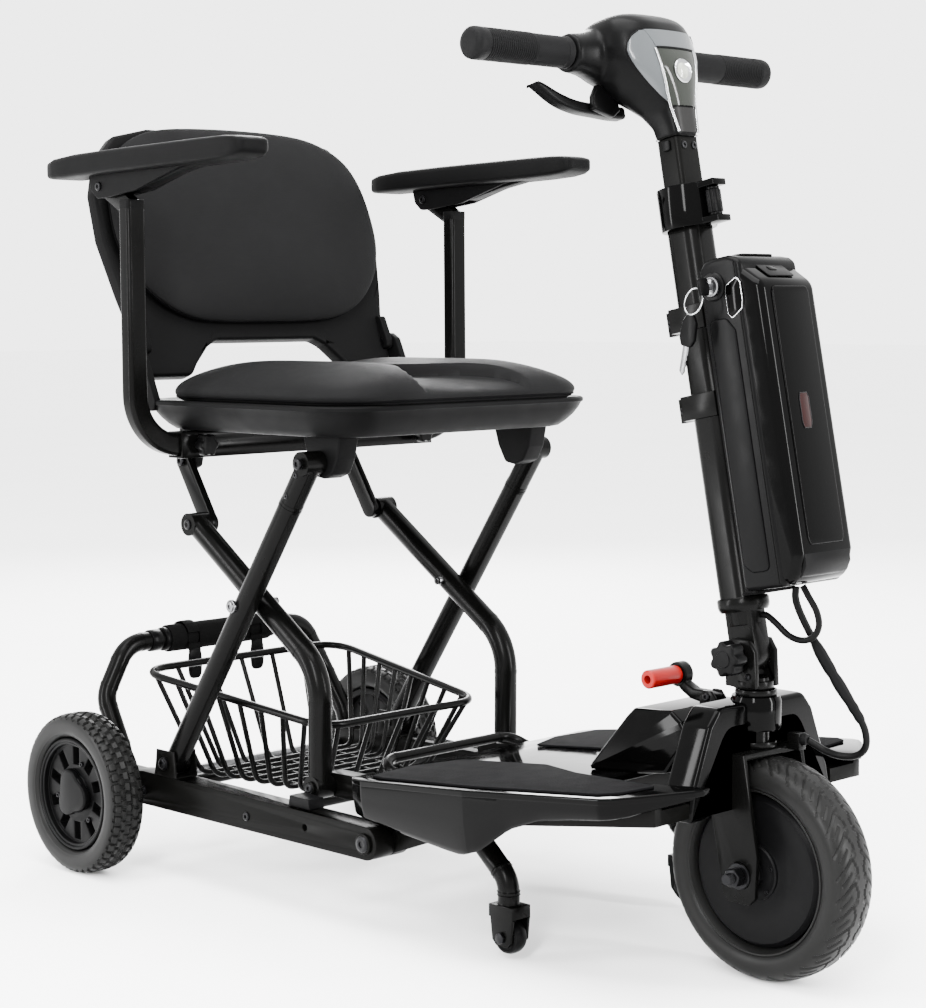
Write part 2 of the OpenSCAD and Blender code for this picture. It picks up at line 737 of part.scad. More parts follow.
module fold_lever() {
  color("#161618") row() difference() {
    union() {
      slab(-6, 6) polygon([
        [818, 281], [800, 280], [782, 283], [770, 290], [758, 300], [754, 308], [760, 314],
        [768, 312], [776, 300], [788, 294], [802, 294], [818, 292]]);
      cross_pin([764, 307], -6, 6, 13, left);
    }
    cross_pin(lever_pivot, -10, 10, 3 + pin_gap, left);
  }
}

module fold_handle() {
  color("#c8231b") row() difference() {
    rod([764, -54, 307], [764, -6, 307], 10);
    rod([764, -55, 307], [764, -30, 307], 4.5);
  }
}

module tiller_tube() {
  color("#1a1a1c") row() tiller_frame() {
    difference() {
      union() {
        rotate([90, 0, 0]) translate([0, 0, -12.6]) cylinder(h = 25.2, r = 17);
        slab(-12.6, 12.6) polygon([[-17, 0], [17, 0], [17, 50], [-17, 50]]);
        translate([0, 0, 32]) cylinder(h = 19, r = 17.4);
        translate([0, 0, 50]) cylinder(h = 10, r = 27);
        translate([0, 0, 60]) linear_extrude(lower_tube_top - 60)
          rounded_rect(lower_tube[0], lower_tube[1], 14);
      }
      rotate([90, 0, 0]) translate([0, 0, -30]) cylinder(h = 60, r = pin_r + pin_gap);
      translate([0, 0, 270]) linear_extrude(300)
        rounded_rect(upper_tube_size[0] + 0.6, upper_tube_size[1] + 0.6, 6);
    }
    for (z = [251, 344]) difference() {
      translate([-6, 0, z]) linear_extrude(26) rounded_rect(80, 48, 6);
      translate([0, 0, z - 1]) linear_extrude(28) rounded_rect(lower_tube[0], lower_tube[1], 14);
      translate([20.6, -40, z - 1]) cube([50, 80, 28]);
      translate([-60, -40, z - 1]) cube([34, 36, 28]);
      translate([-60, 4, z - 1]) cube([34, 36, 28]);
    }
  }
}

module tiller_knob() {
  color("#141416") row() translate([knuckle[0], -28, knuckle[1]]) rotate([90, 0, 0]) {
    star_knob(19, 18, 7, pin_r - 0.05, 50);
  }
}

module battery_dock() {
  color("#141416") row() tiller_frame() {
    translate([21, -20, 70]) cube([10, 40, 330]);
    translate([31, -34, 64]) cube([battery_x[0] - 31 - run_gap, 68, 336]);
    translate([21, -26, 62]) cube([30, 52, 3.6]);
  }
}

module battery_pack() {
  color("#232326") row() tiller_frame() intersection() {
    slab(-battery_half_w, battery_half_w) polygon([
      [battery_x[0], battery_z[0]], [battery_x[0], battery_z[1] - 6],
      [battery_x[0] + 8, battery_z[1]], [78, battery_z[1]], [battery_split, battery_z[1] - 6],
      [battery_split, battery_z[0]]]);
    translate([battery_x[0], -battery_half_w, 0]) linear_extrude(500)
      square([battery_split - battery_x[0], 2 * battery_half_w]);
  }
}

module battery_shell() {
  shell_half_w = battery_half_w - 1;
  color("#0f0f11") row() tiller_frame() intersection() {
    slab(-shell_half_w, shell_half_w) polygon([
      [battery_split, battery_z[0] + 1], [battery_split, battery_z[1] - 7],
      [battery_x[1], battery_z[1] - 34], [battery_x[1], battery_z[0] + 22],
      [battery_x[1] - 12, battery_z[0] + 6]]);
    translate([battery_x[1] - 40, 0, 0]) linear_extrude(500) rounded_rect(80, 2 * shell_half_w + 2, 18);
  }
}

module lock_key() {
  color("#b9b9bb") row() tiller_frame() {
    translate([59, -battery_half_w - 0.3, 378]) rotate([90, 0, 0]) cylinder(h = 5, r = 10);
    translate([58, -battery_half_w - 22, 371]) cube([2.4, 18, 14]);
  }
}

module clamp_collar() {
  color("#161618") row() tiller_frame() {
    difference() {
      translate([0, 0, 451]) cylinder(h = 45, r = 29.5);
      translate([0, 0, 450]) linear_extrude(20)
        rounded_rect(lower_tube[0], lower_tube[1], 14);
      translate([0, 0, 469]) linear_extrude(30)
        rounded_rect(upper_tube_size[0] + 0.6, upper_tube_size[1] + 0.6, 6);
    }
    for (z = [451, 489]) translate([26, -11, z]) cube([22, 22, 7]);
    translate([38, 0, 457]) cylinder(h = 33, r = 3);
  }
}

module clamp_roller() {
  color("#1a1a1c") row() tiller_frame() difference() {
    union() {
      translate([38, 0, 458.4]) cylinder(h = 30.2, r = 7);
      translate([38, 0, 462]) cylinder(h = 23, r = 8.3);
    }
    translate([38, 0, 450]) cylinder(h = 60, r = 3 + pin_gap);
  }
}

module upper_tube() {
  color("#2a2a2c") row() tiller_frame() difference() {
    translate([0, 0, 330]) linear_extrude(217.9)
      rounded_rect(upper_tube_size[0], upper_tube_size[1], 6);
    translate([0, 0, 329]) linear_extrude(200)
      rounded_rect(upper_tube_size[0] - 5, upper_tube_size[1] - 5, 4);
  }
}

module steering_head() {
  color("#1c1c1f") row() tiller_frame() {
    difference() {
      union() {
        intersection() {
          slab(-62, 62) polygon([
            [-17, 548], [17, 548], [20, 600], [16, 640], [6, 672], [-16, 690], [-44, 695],
            [-72, 686], [-86, 662], [-84, 632], [-64, 602], [-34, 582], [-18, 566]]);
          translate([-100, 0, 0]) rotate([90, 0, 90]) linear_extrude(140) polygon([
            [-20, 546], [20, 546], [24, 580], [56, 622], [62, 650], [58, 674], [40, 690],
            [22, 696], [-22, 696], [-40, 690], [-58, 674], [-62, 650], [-56, 622], [-24, 580]]);
        }
        for (side = [left, right]) rod([-55, side * 60, bar_height], [-55, side * 94, bar_height], 21);
      }
      rod([-55, -100, bar_height], [-55, 100, bar_height], 11);
      translate([12, -30, 610]) cube([20, 60, 60]);
    }
  }
}

module handle_grips() {
  color("#1b1b1d") row() tiller_frame() {
    rod([-55, -bar_half_w + 8, bar_height], [-55, bar_half_w - 8, bar_height], 11);
    for (side = [left, right]) {
      difference() {
        rod([-55, side * 94.4, bar_height], [-55, side * (bar_half_w - 12), bar_height], 17);
        rod([-55, side * 90, bar_height], [-55, side * (bar_half_w - 20), bar_height], 11);
      }
      translate([-55, side * (bar_half_w - 12), bar_height]) rotate([side > 0 ? -90 : 90, 0, 0])
        cylinder(h = 12, r1 = 17, r2 = 9);
    }
  }
}

module throttle_lever() {
  color("#161618") row() tiller_frame() {
    slab(130, 138, right) polygon([[-76, 593.5], [-62, 593.5], [-64, 619], [-74, 619]]);
    slab(30, 137, right) polygon([[-76, 593.5], [-62, 593.5], [-62, 600.5], [-76, 600.5]]);
    rod([-76, -55, 597], [-62, -55, 597], 4.5);
  }
}

module headlight() {
  color("#d9dde0") row() tiller_frame() difference() {
    translate([12, -29, 611]) cube([11, 58, 52]);
    translate([18, -24, 640]) rotate([0, 30, 0]) translate([0, -10, 0]) cube([30, 70, 60]);
  }
}

module harness_cable() {
  color("#131315") row() cable(harness_route, 3.5);
}

module motor_cable() {
  color("#131315") row() cable(motor_route, 4);
}

deck_frame();
footboard();
grip_pads();
centre_cover();
front_arch();
lift_bar();
caster_stems();
caster_left();
caster_right();
rear_frame();
rear_axle();
carry_hoop();
hoop_pad();
basket();
basket_straps();
rail_buffers();
pivot_bolts();
rear_rim_left();
rear_rim_right();
rear_tyre_left();
rear_tyre_right();
outer_tube_left();
outer_tube_right();
crossing_bolts();
inner_tube_left();
inner_tube_right();
link_left();
link_right();
seat_base();
seat_cushion();
armrest_receiver();
width_knob_left();
width_knob_right();
back_frame();
back_cushion();
arm_tube_left();
arm_tube_right();
arm_pad_left();
arm_pad_right();
fork();
front_axle();
motor_hub();
front_tyre();
fold_lever();
fold_handle();
tiller_tube();
tiller_knob();
battery_dock();
battery_pack();
battery_shell();
lock_key();
clamp_collar();
clamp_roller();
upper_tube();
steering_head();
handle_grips();
throttle_lever();
headlight();
harness_cable();
motor_cable();
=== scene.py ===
"""Looks of a folding three-wheeled mobility scooter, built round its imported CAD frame."""

import json
import math

import bmesh
import bpy
import numpy as np
from mathutils import Matrix, Vector


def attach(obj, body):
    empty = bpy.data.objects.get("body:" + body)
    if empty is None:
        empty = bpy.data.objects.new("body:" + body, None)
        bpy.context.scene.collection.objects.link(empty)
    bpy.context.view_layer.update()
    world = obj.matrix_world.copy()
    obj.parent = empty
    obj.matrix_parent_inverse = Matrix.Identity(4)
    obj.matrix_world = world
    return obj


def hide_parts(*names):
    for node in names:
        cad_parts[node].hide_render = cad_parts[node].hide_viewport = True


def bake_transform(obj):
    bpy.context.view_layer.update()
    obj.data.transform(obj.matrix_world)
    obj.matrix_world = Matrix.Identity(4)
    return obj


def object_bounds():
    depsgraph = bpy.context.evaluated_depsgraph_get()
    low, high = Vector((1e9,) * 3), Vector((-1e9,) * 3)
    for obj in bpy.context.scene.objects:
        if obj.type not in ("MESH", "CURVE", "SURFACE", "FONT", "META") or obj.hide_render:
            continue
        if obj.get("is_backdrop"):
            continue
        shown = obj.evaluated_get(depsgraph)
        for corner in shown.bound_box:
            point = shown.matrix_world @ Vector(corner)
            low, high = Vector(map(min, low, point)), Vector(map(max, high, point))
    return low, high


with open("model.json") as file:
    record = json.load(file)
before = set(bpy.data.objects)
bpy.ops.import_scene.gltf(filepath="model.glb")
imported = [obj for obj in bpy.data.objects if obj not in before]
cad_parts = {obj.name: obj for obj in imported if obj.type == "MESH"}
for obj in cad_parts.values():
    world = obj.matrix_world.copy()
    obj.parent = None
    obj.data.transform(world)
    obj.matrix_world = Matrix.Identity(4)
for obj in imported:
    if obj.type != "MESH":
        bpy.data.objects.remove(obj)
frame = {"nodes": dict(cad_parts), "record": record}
CAD_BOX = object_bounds()
NODES = frame["nodes"]

# Lengths are in millimetres from the ground under the rear axle, turned into row metres by P
X_MID = 451.5
MM = 0.001
LEAN = math.radians(10.7)
BACK_LEAN = math.radians(18)
KNUCKLE = (860.0, 338.0)
BACK_HINGE = (72.0, 655.0)
WHEELBASE = 886.0
LEFT, RIGHT = 1, -1


def P(x, y, z):
    """A point of the part, in row metres."""
    return Vector(((x - X_MID) * MM, y * MM, z * MM))


def leaned(origin, angle, x, y, z):
    c, s = math.cos(angle), math.sin(angle)
    return P(origin[0] + x * c - z * s, y, origin[1] + x * s + z * c)


def T(x, y, z):
    """A point in the tiller's own frame, in row metres."""
    return leaned(KNUCKLE, LEAN, x, y, z)


def B(x, y, z):
    """A point in the backrest's own frame, in row metres."""
    return leaned(BACK_HINGE, BACK_LEAN, x, y, z)


# ---------------------------------------------------------------- materials


def finish(
    name,
    colour,
    rough,
    metallic=0.0,
    spread=0.12,
    mottle=9.0,
    rough_spread=0.04,
    grain=900.0,
    depth=0.00005,
    bump=0.15,
    sheen=0.0,
    pattern=None,
    pitch=0.0012,
    pattern_depth=0.00015,
    specular=0.1,
):
    """A procedural finish: mottled colour and roughness, fine grain, and a pattern where one is named."""
    mat = bpy.data.materials.new(name)
    mat.use_nodes = True
    tree = mat.node_tree
    nodes, links = tree.nodes, tree.links
    shader = nodes["Principled BSDF"]
    coords = nodes.new("ShaderNodeTexCoord").outputs["Object"]

    def noise(scale, detail=5.0):
        n = nodes.new("ShaderNodeTexNoise")
        n.inputs["Scale"].default_value = scale
        n.inputs["Detail"].default_value = detail
        links.new(coords, n.inputs["Vector"])
        return n.outputs["Fac"]

    broad = noise(mottle)
    ramp = nodes.new("ShaderNodeValToRGB")
    ramp.color_ramp.elements[0].position = 0.3
    ramp.color_ramp.elements[1].position = 0.7
    for element, factor in zip(ramp.color_ramp.elements, (1 - spread, 1 + spread)):
        element.color = (*[min(1.0, c * factor) for c in colour], 1)
    links.new(broad, ramp.inputs["Fac"])
    links.new(ramp.outputs["Color"], shader.inputs["Base Color"])

    spread_map = nodes.new("ShaderNodeMapRange")
    spread_map.inputs["From Min"].default_value = 0.3
    spread_map.inputs["From Max"].default_value = 0.7
    spread_map.inputs["To Min"].default_value = max(0.02, rough - rough_spread)
    spread_map.inputs["To Max"].default_value = min(1.0, rough + rough_spread)
    links.new(noise(mottle * 6, 8.0), spread_map.inputs["Value"])
    links.new(spread_map.outputs["Result"], shader.inputs["Roughness"])

    fine = nodes.new("ShaderNodeBump")
    fine.inputs["Strength"].default_value = bump
    fine.inputs["Distance"].default_value = depth
    links.new(noise(grain, 3.0), fine.inputs["Height"])
    normal = fine.outputs["Normal"]
    if pattern:
        height = pattern_height(nodes, links, coords, pattern, pitch)
        relief = nodes.new("ShaderNodeBump")
        relief.inputs["Strength"].default_value = 0.7
        relief.inputs["Distance"].default_value = pattern_depth
        links.new(height, relief.inputs["Height"])
        links.new(normal, relief.inputs["Normal"])
        normal = relief.outputs["Normal"]
    links.new(normal, shader.inputs["Normal"])

    shader.inputs["Metallic"].default_value = metallic
    shader.inputs["Sheen Weight"].default_value = sheen
    shader.inputs["Specular IOR Level"].default_value = specular
    return mat


def pattern_height(nodes, links, coords, pattern, pitch):
    """The height of a weave, of small pits, or of a cross-hatch of the given pitch in metres."""
    if pattern == "pits":
        cells = nodes.new("ShaderNodeTexVoronoi")
        cells.inputs["Scale"].default_value = 1 / pitch
        links.new(coords, cells.inputs["Vector"])
        return cells.outputs["Distance"]
    waves = []
    for direction in ("X", "Y", "Z") if pattern == "weave" else ("DIAGONAL", "Z"):
        wave = nodes.new("ShaderNodeTexWave")
        wave.wave_type = "BANDS"
        wave.bands_direction = direction
        wave.inputs["Scale"].default_value = 0.314 / pitch
        wave.inputs["Distortion"].default_value = 0.4
        wave.inputs["Detail Scale"].default_value = 2.0
        links.new(coords, wave.inputs["Vector"])
        waves.append(wave.outputs["Fac"])
    total = waves[0]
    for w in waves[1:]:
        add = nodes.new("ShaderNodeMath")
        add.operation = "MAXIMUM" if pattern == "weave" else "MULTIPLY"
        links.new(total, add.inputs[0])
        links.new(w, add.inputs[1])
        total = add.outputs[0]
    return total


PAINT = finish("satin_paint", (0.0010, 0.0010, 0.00095), 0.24, specular=0.034, bump=0.06, grain=1500)
PAINT_DARK = finish("frame_paint", (0.0011, 0.0011, 0.001), 0.33, specular=0.024, bump=0.08, grain=1300)
GLOSS = finish("gloss_black", (0.0004, 0.0004, 0.0004), 0.08, specular=0.03, rough_spread=0.03, bump=0.03)
PLASTIC = finish("moulded_plastic", (0.0017, 0.0017, 0.00175), 0.5, pattern="pits", pitch=0.0007,
                 pattern_depth=0.00005, specular=0.02)
SATIN_PLASTIC = finish("satin_plastic", (0.0011, 0.0011, 0.00115), 0.32, pattern="pits", pitch=0.0006,
                       pattern_depth=0.00003, specular=0.03)
DECK_MAT = finish("deck_mat", (0.0024, 0.0024, 0.0026), 0.8, pattern="pits", pitch=0.0022, pattern_depth=0.0005,
                  bump=0.5, specular=0.01)
TYRE = finish("tyre_rubber", (0.0036, 0.0036, 0.0035), 0.4, spread=0.25, grain=1200, depth=0.0001, bump=0.4,
              specular=0.06)
RUBBER = finish("grip_rubber", (0.0022, 0.0022, 0.0023), 0.5, pattern="hatch", pitch=0.0014, pattern_depth=0.00018,
                specular=0.03)
SOFT_RUBBER = finish("soft_rubber", (0.0018, 0.0018, 0.0019), 0.48, specular=0.03)
FOAM = finish("foam_sleeve", (0.0018, 0.0018, 0.0018), 0.85, pattern="pits", pitch=0.0016, pattern_depth=0.0003,
              specular=0.01)
FABRIC = finish("seat_fabric", (0.0038, 0.0038, 0.0039), 0.62, sheen=0.003, spread=0.1, pattern="weave",
                pitch=0.0011, pattern_depth=0.00014, grain=500, specular=0.015)
SEAM = finish("seam_thread", (0.0012, 0.0012, 0.0013), 0.7, pattern="weave", pitch=0.0008, specular=0.01)
WEBBING = finish("webbing", (0.0018, 0.0018, 0.0018), 0.8, pattern="weave", pitch=0.0016, pattern_depth=0.0003,
                 specular=0.01)
ZINC = finish("zinc_steel", (0.1, 0.1, 0.103), 0.3, metallic=1.0, spread=0.18, mottle=60)
DARK_STEEL = finish("blackened_steel", (0.007, 0.007, 0.0075), 0.34, metallic=0.9, mottle=60, specular=0.05)
CHROME = finish("bright_trim", (0.3, 0.305, 0.31), 0.1, metallic=1.0, spread=0.04, rough_spread=0.03, bump=0.03)
MOTOR = finish("motor_casting", (0.0014, 0.0014, 0.0015), 0.4, mottle=25, specular=0.03)
RED = finish("red_grip", (0.16, 0.0012, 0.001), 0.3, spread=0.06, specular=0.1, bump=0.05)
FASCIA = finish("fascia_grey", (0.034, 0.037, 0.039), 0.14, spread=0.08, specular=0.25, bump=0.03)
SOFT_GREY = finish("satin_grey", (0.006, 0.0059, 0.0057), 0.36, specular=0.05, bump=0.05)
LENS = finish("lamp_lens", (0.2, 0.21, 0.18), 0.1, spread=0.25, mottle=150, specular=0.5, bump=0.2)
SMOKE = finish("smoked_glass", (0.008, 0.009, 0.0075), 0.07, spread=0.2, specular=0.12, bump=0.02)
WINDOW = finish("charge_window", (0.006, 0.0008, 0.0007), 0.12, specular=0.1, bump=0.03)
CABLE = finish("cable_jacket", (0.0012, 0.0012, 0.0012), 0.42, specular=0.04, bump=0.1)

# ---------------------------------------------------------------- mesh helpers


def add_mesh(name, verts, faces, mat, sharp=38.0):
    mesh = bpy.data.meshes.new(name)
    mesh.from_pydata([tuple(v) for v in verts], [], faces)
    mesh.validate()
    mesh.update()
    obj = bpy.data.objects.new(name, mesh)
    bpy.context.scene.collection.objects.link(obj)
    mesh.materials.append(mat)
    fix_normals(obj)
    smooth(obj, sharp)
    return obj


def fix_normals(obj):
    bm = bmesh.new()
    bm.from_mesh(obj.data)
    bmesh.ops.recalc_face_normals(bm, faces=bm.faces)
    bm.to_mesh(obj.data)
    bm.free()


def smooth(obj, sharp):
    obj.data.polygons.foreach_set("use_smooth", [True] * len(obj.data.polygons))
    obj.data.set_sharp_from_angle(angle=math.radians(sharp))
    obj.data.update()


def apply_modifiers(obj, sharp=38.0):
    bpy.context.view_layer.update()
    evaluated = obj.evaluated_get(bpy.context.evaluated_depsgraph_get())
    mesh = bpy.data.meshes.new_from_object(evaluated)
    obj.modifiers.clear()
    obj.data = mesh
    smooth(obj, sharp)
    return obj


def bevel(obj, width, segments=3, angle=32.0, sharp=38.0):
    m = obj.modifiers.new("edge", "BEVEL")
    m.width = width * MM
    m.segments = segments
    m.limit_method = "ANGLE"
    m.angle_limit = math.radians(angle)
    m.use_clamp_overlap = False
    m.harden_normals = False
    return apply_modifiers(obj, sharp)


def settle(obj, body, slot, *replaced):
    """Rides a finished piece on its body and hides the CAD nodes it stands for; its slot is not used."""
    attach(obj, body)
    if replaced:
        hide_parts(*replaced)
    return obj


def fillet(outline, radius, steps=4, closed=True):
    """Rounds the corners of a list of points, 2D or 3D."""
    pts = [Vector(p) for p in outline]
    n = len(pts)
    out = []
    for i, p in enumerate(pts):
        if not closed and i in (0, n - 1):
            out.append(p)
            continue
        a, b = pts[i - 1], pts[(i + 1) % n]
        da, db = (a - p), (b - p)
        la, lb = da.length, db.length
        if la < 1e-6 or lb < 1e-6:
            continue
        da, db = da / la, db / lb
        cosine = max(-1.0, min(1.0, da.dot(db)))
        half = math.acos(cosine) / 2
        if half > math.radians(88):
            out.append(p)
            continue
        reach = min(radius / math.tan(half), la * 0.49, lb * 0.49)
        s, e = p + da * reach, p + db * reach
        for k in range(steps + 1):
            t = k / steps
            out.append(s * (1 - t) ** 2 + p * (2 * t * (1 - t)) + e * t * t)
    return out


PLANES = {
    "xz": lambda a, b, d: (a, d, b),
    "xy": lambda a, b, d: (a, b, d),
    "yz": lambda a, b, d: (d, a, b),
}


def prism(name, outline, lo, hi, plane, mat, edge=1.0, segments=3, place=P, corner=0.0, angle=32.0):
    """A flat outline carried from lo to hi across its plane, with rounded edges."""
    pts = fillet([(*p, 0.0) for p in outline], corner) if corner else [Vector((*p, 0.0)) for p in outline]
    to3 = PLANES[plane]
    verts = [place(*to3(p.x, p.y, d)) for d in (lo, hi) for p in pts]
    n = len(pts)
    faces = [list(range(n)), list(range(n, 2 * n))]
    faces += [[i, (i + 1) % n, n + (i + 1) % n, n + i] for i in range(n)]
    obj = add_mesh(name, verts, faces, mat)
    if edge > 0:
        bevel(obj, edge, segments, angle)
    return obj


def sweep_rings(path, radius, sides, closed):
    """Rings of points round a path, turned as little as possible from one to the next."""
    n = len(path)
    rings = []
    side = None
    for i, p in enumerate(path):
        if closed:
            t = path[(i + 1) % n] - path[i - 1]
        else:
            t = path[min(i + 1, n - 1)] - path[max(i - 1, 0)]
        t = t.normalized()
        if side is None:
            side = t.orthogonal().normalized()
        side = (side - t * side.dot(t)).normalized()
        other = t.cross(side)
        r = radius(i / (n - 1)) if callable(radius) else radius
        rings.append(
            [p + (side * math.cos(a) + other * math.sin(a)) * r * MM
             for a in (2 * math.pi * k / sides for k in range(sides))]
        )
    return rings


def skin(rings, closed=False):
    """Vertices and faces that join rings of equal size into one tube."""
    m, n = len(rings), len(rings[0])
    verts = [v for r in rings for v in r]
    faces = []
    for i in range(m if closed else m - 1):
        j = (i + 1) % m
        for k in range(n):
            k2 = (k + 1) % n
            faces.append([i * n + k, i * n + k2, j * n + k2, j * n + k])
    if not closed:
        faces += [list(range(n))[::-1], list(range((m - 1) * n, m * n))]
    return verts, faces


def tube(name, points, radius, mat, sides=16, closed=False, bend=0.0, steps=6, place=P):
    """A round tube or wire through points, with rounded corners."""
    pts = fillet(points, bend, steps, closed) if bend else [Vector(p) for p in points]
    path = [place(*p) for p in pts]
    verts, faces = skin(sweep_rings(path, radius, sides, closed), closed)
    return add_mesh(name, verts, faces, mat, 50)


def lathe(name, profile, centre, mat, steps=64, axis="y", place=P, sharp=35.0, closed=True):
    """A profile of (radius, distance along the axis) turned about an axis through a centre."""
    cx, cy, cz = centre
    rings = []
    for i in range(steps):
        a = 2 * math.pi * i / steps
        c, s = math.cos(a), math.sin(a)
        row = []
        for r, t in profile:
            if axis == "y":
                row.append(place(cx + r * c, cy + t, cz + r * s))
            elif axis == "z":
                row.append(place(cx + r * c, cy + r * s, cz + t))
            else:
                row.append(place(cx + t, cy + r * c, cz + r * s))
        rings.append(row)
    m, n = len(rings), len(profile)
    verts = [v for r in rings for v in r]
    last = n if closed else n - 1
    faces = [
        [i * n + k, i * n + (k + 1) % n, ((i + 1) % m) * n + (k + 1) % n, ((i + 1) % m) * n + k]
        for i in range(m) for k in range(last)
    ]
    obj = add_mesh(name, verts, faces, mat, sharp)
    bm = bmesh.new()
    bm.from_mesh(obj.data)
    bmesh.ops.remove_doubles(bm, verts=bm.verts, dist=1e-6)
    bm.to_mesh(obj.data)
    bm.free()
    smooth(obj, sharp)
    return obj


def soften(node, mat, body, width=0.7, segments=2):
    """A copy of a hard-edged CAD node with its sharp edges rounded, standing for that node."""
    source = NODES[node]
    mesh = source.data.copy()
    obj = bpy.data.objects.new(f"soft_{node}", mesh)
    bpy.context.scene.collection.objects.link(obj)
    mesh.materials.clear()
    mesh.materials.append(mat)
    mesh.polygons.foreach_set("material_index", [0] * len(mesh.polygons))
    bm = bmesh.new()
    bm.from_mesh(mesh)
    bmesh.ops.remove_doubles(bm, verts=bm.verts, dist=2e-6)
    bmesh.ops.dissolve_limit(
        bm, angle_limit=math.radians(0.6), verts=bm.verts, edges=bm.edges
    )
    bm.to_mesh(mesh)
    bm.free()
    if "custom_normal" in mesh.attributes:
        mesh.attributes.remove(mesh.attributes["custom_normal"])
    if width > 0:
        bevel(obj, width, segments, 38.0)
    else:
        smooth(obj, 35)
    slot = next(s["material_slot"] for s in frame["record"]["subparts"] if s["node"] == node)
    return settle(obj, body, slot, node)


def superellipse(half_a, half_b, power, count):
    """An ellipse squared off by its power, as a list of points."""
    out = []
    for k in range(count):
        a = 2 * math.pi * k / count
        c, s = math.cos(a), math.sin(a)
        out.append((
            half_a * math.copysign(abs(c) ** (2 / power), c),
            half_b * math.copysign(abs(s) ** (2 / power), s),
        ))
    return out


def spline(points, per=6, closed=True):
    """A smooth line through points."""
    pts = [Vector(p) for p in points]
    n = len(pts)
    out = []
    for i in range(n if closed else n - 1):
        if closed:
            a, b, c, d = pts[i - 1], pts[i], pts[(i + 1) % n], pts[(i + 2) % n]
        else:
            a, b = pts[max(i - 1, 0)], pts[i]
            c, d = pts[i + 1], pts[min(i + 2, n - 1)]
        for k in range(per):
            t = k / per
            out.append(0.5 * (2 * b + (c - a) * t + (2 * a - 5 * b + 4 * c - d) * t * t
                              + (3 * b - a - 3 * c + d) * t ** 3))
    if not closed:
        out.append(pts[-1])
    return out


def bolt(name, at, sign, r, h, body, mat=None, place=P, axis="y"):
    """A domed bolt head with a round socket, facing sign along its axis."""
    steps, socket_share = 36, 0.42
    inner = r * socket_share
    profile = [(r * 0.98, 0), (r, h * 0.25), (r * 0.94, h * 0.7), (r * 0.78, h * 0.94),
               (inner * 1.25, h), (inner, h * 0.9), (inner * 0.96, h * 0.25), (0.01, h * 0.2)]
    profile = [(a, sign * b) for a, b in profile] + [(0.01, 0)]
    obj = lathe(name, profile, at, mat or ZINC, steps, axis, place, closed=True)
    return settle(obj, body, "zinc_steel")


def hexagon(r, turn=0.0):
    return [(r * math.cos(math.radians(60 * k + turn)), r * math.sin(math.radians(60 * k + turn)))
            for k in range(6)]


# ---------------------------------------------------------------- camera and studio

CAMERA_AT = (1.8417, -1.7969, 0.7019)
YAW, PITCH, ROLL = (math.radians(a) for a in (45.4, -4.44, -0.32))
FOCAL_PX, LONG_SIDE_PX, SENSOR = 2207.0, 1008.0, 36.0


def make_camera():
    data = bpy.data.cameras.new("camera")
    data.sensor_width = SENSOR
    data.lens = FOCAL_PX / LONG_SIDE_PX * SENSOR
    data.clip_end = 60
    camera = bpy.data.objects.new("camera", data)
    bpy.context.scene.collection.objects.link(camera)
    ahead = Vector((-math.sin(YAW) * math.cos(PITCH), math.cos(YAW) * math.cos(PITCH), math.sin(PITCH)))
    right = Vector((math.cos(YAW), math.sin(YAW), 0))
    up = right.cross(ahead)
    turn = Matrix((right, up, -ahead)).transposed()
    turn = turn @ Matrix.Rotation(ROLL, 3, "Z")
    camera.matrix_world = Matrix.Translation(CAMERA_AT) @ turn.to_4x4()
    bpy.context.scene.camera = camera
    return data


camera_data = make_camera()
camera_data.shift_x, camera_data.shift_y = -0.025, -0.026


def area_light(name, at, target, size, power):
    data = bpy.data.lights.new(name, "AREA")
    data.shape = "RECTANGLE"
    data.size, data.size_y = size
    data.energy = power
    obj = bpy.data.objects.new(name, data)
    bpy.context.scene.collection.objects.link(obj)
    obj.location = at
    obj.rotation_euler = (Vector(target) - Vector(at)).to_track_quat("-Z", "Y").to_euler()


def make_studio():
    world = bpy.data.worlds.new("studio")
    bpy.context.scene.world = world
    world.use_nodes = True
    world.node_tree.nodes["Background"].inputs["Color"].default_value = (1.0, 1.0, 1.0, 1)
    world.node_tree.nodes["Background"].inputs["Strength"].default_value = 4.2
    area_light("key_light", (1.9, -2.9, 2.3), (0, 0, 0.5), (0.5, 2.2), 330)
    area_light("top_light", (0.3, -0.6, 3.2), (0, 0, 0.3), (2.6, 2.0), 330)
    area_light("side_light", (3.3, 1.2, 1.2), (0.3, 0, 0.5), (0.35, 2.4), 300)
    area_light("near_light", (-1.7, -2.9, 1.1), (-0.1, 0, 0.4), (0.35, 2.2), 170)
    area_light("back_light", (-2.4, 2.0, 1.9), (0, 0, 0.5), (1.0, 1.8), 160)
    size = 30.0
    floor = add_mesh(
        "floor", [(-size, -size, 0), (size, -size, 0), (size, size, 0), (-size, size, 0)], [[0, 1, 2, 3]],
        finish("floor_pale", (0.93, 0.93, 0.93), 0.8, spread=0.01, mottle=2, bump=0.02),
    )
    floor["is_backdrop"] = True


make_studio()

# ---------------------------------------------------------------- cables

HARNESS = [
    (870.4, 6, 380.7), (876, 7, 380), (887, 9, 372), (900, 12, 361), (914, 15, 357),
    (927, 17, 361), (934, 18, 373), (932, 17, 388), (924, 15, 402), (917, 13, 414.2),
]
MOTOR_ROUTE = [
    (903, 20, 411), (902, 20.5, 400), (905, 22, 388), (911, 26, 372), (919, 31, 354), (929, 38, 332),
    (941, 46, 308), (952, 54, 286), (960, 60, 268), (962, 63, 252), (957, 64, 240),
    (946, 61, 234), (933, 54, 234), (922, 45, 239), (917, 37, 245), (911.8, 28.6, 251),
]


def path_length(path):
    return sum((b - a).length for a, b in zip(path, path[1:]))


def smooth_route(route):
    return [P(*p) for p in spline(route, 4, False)]


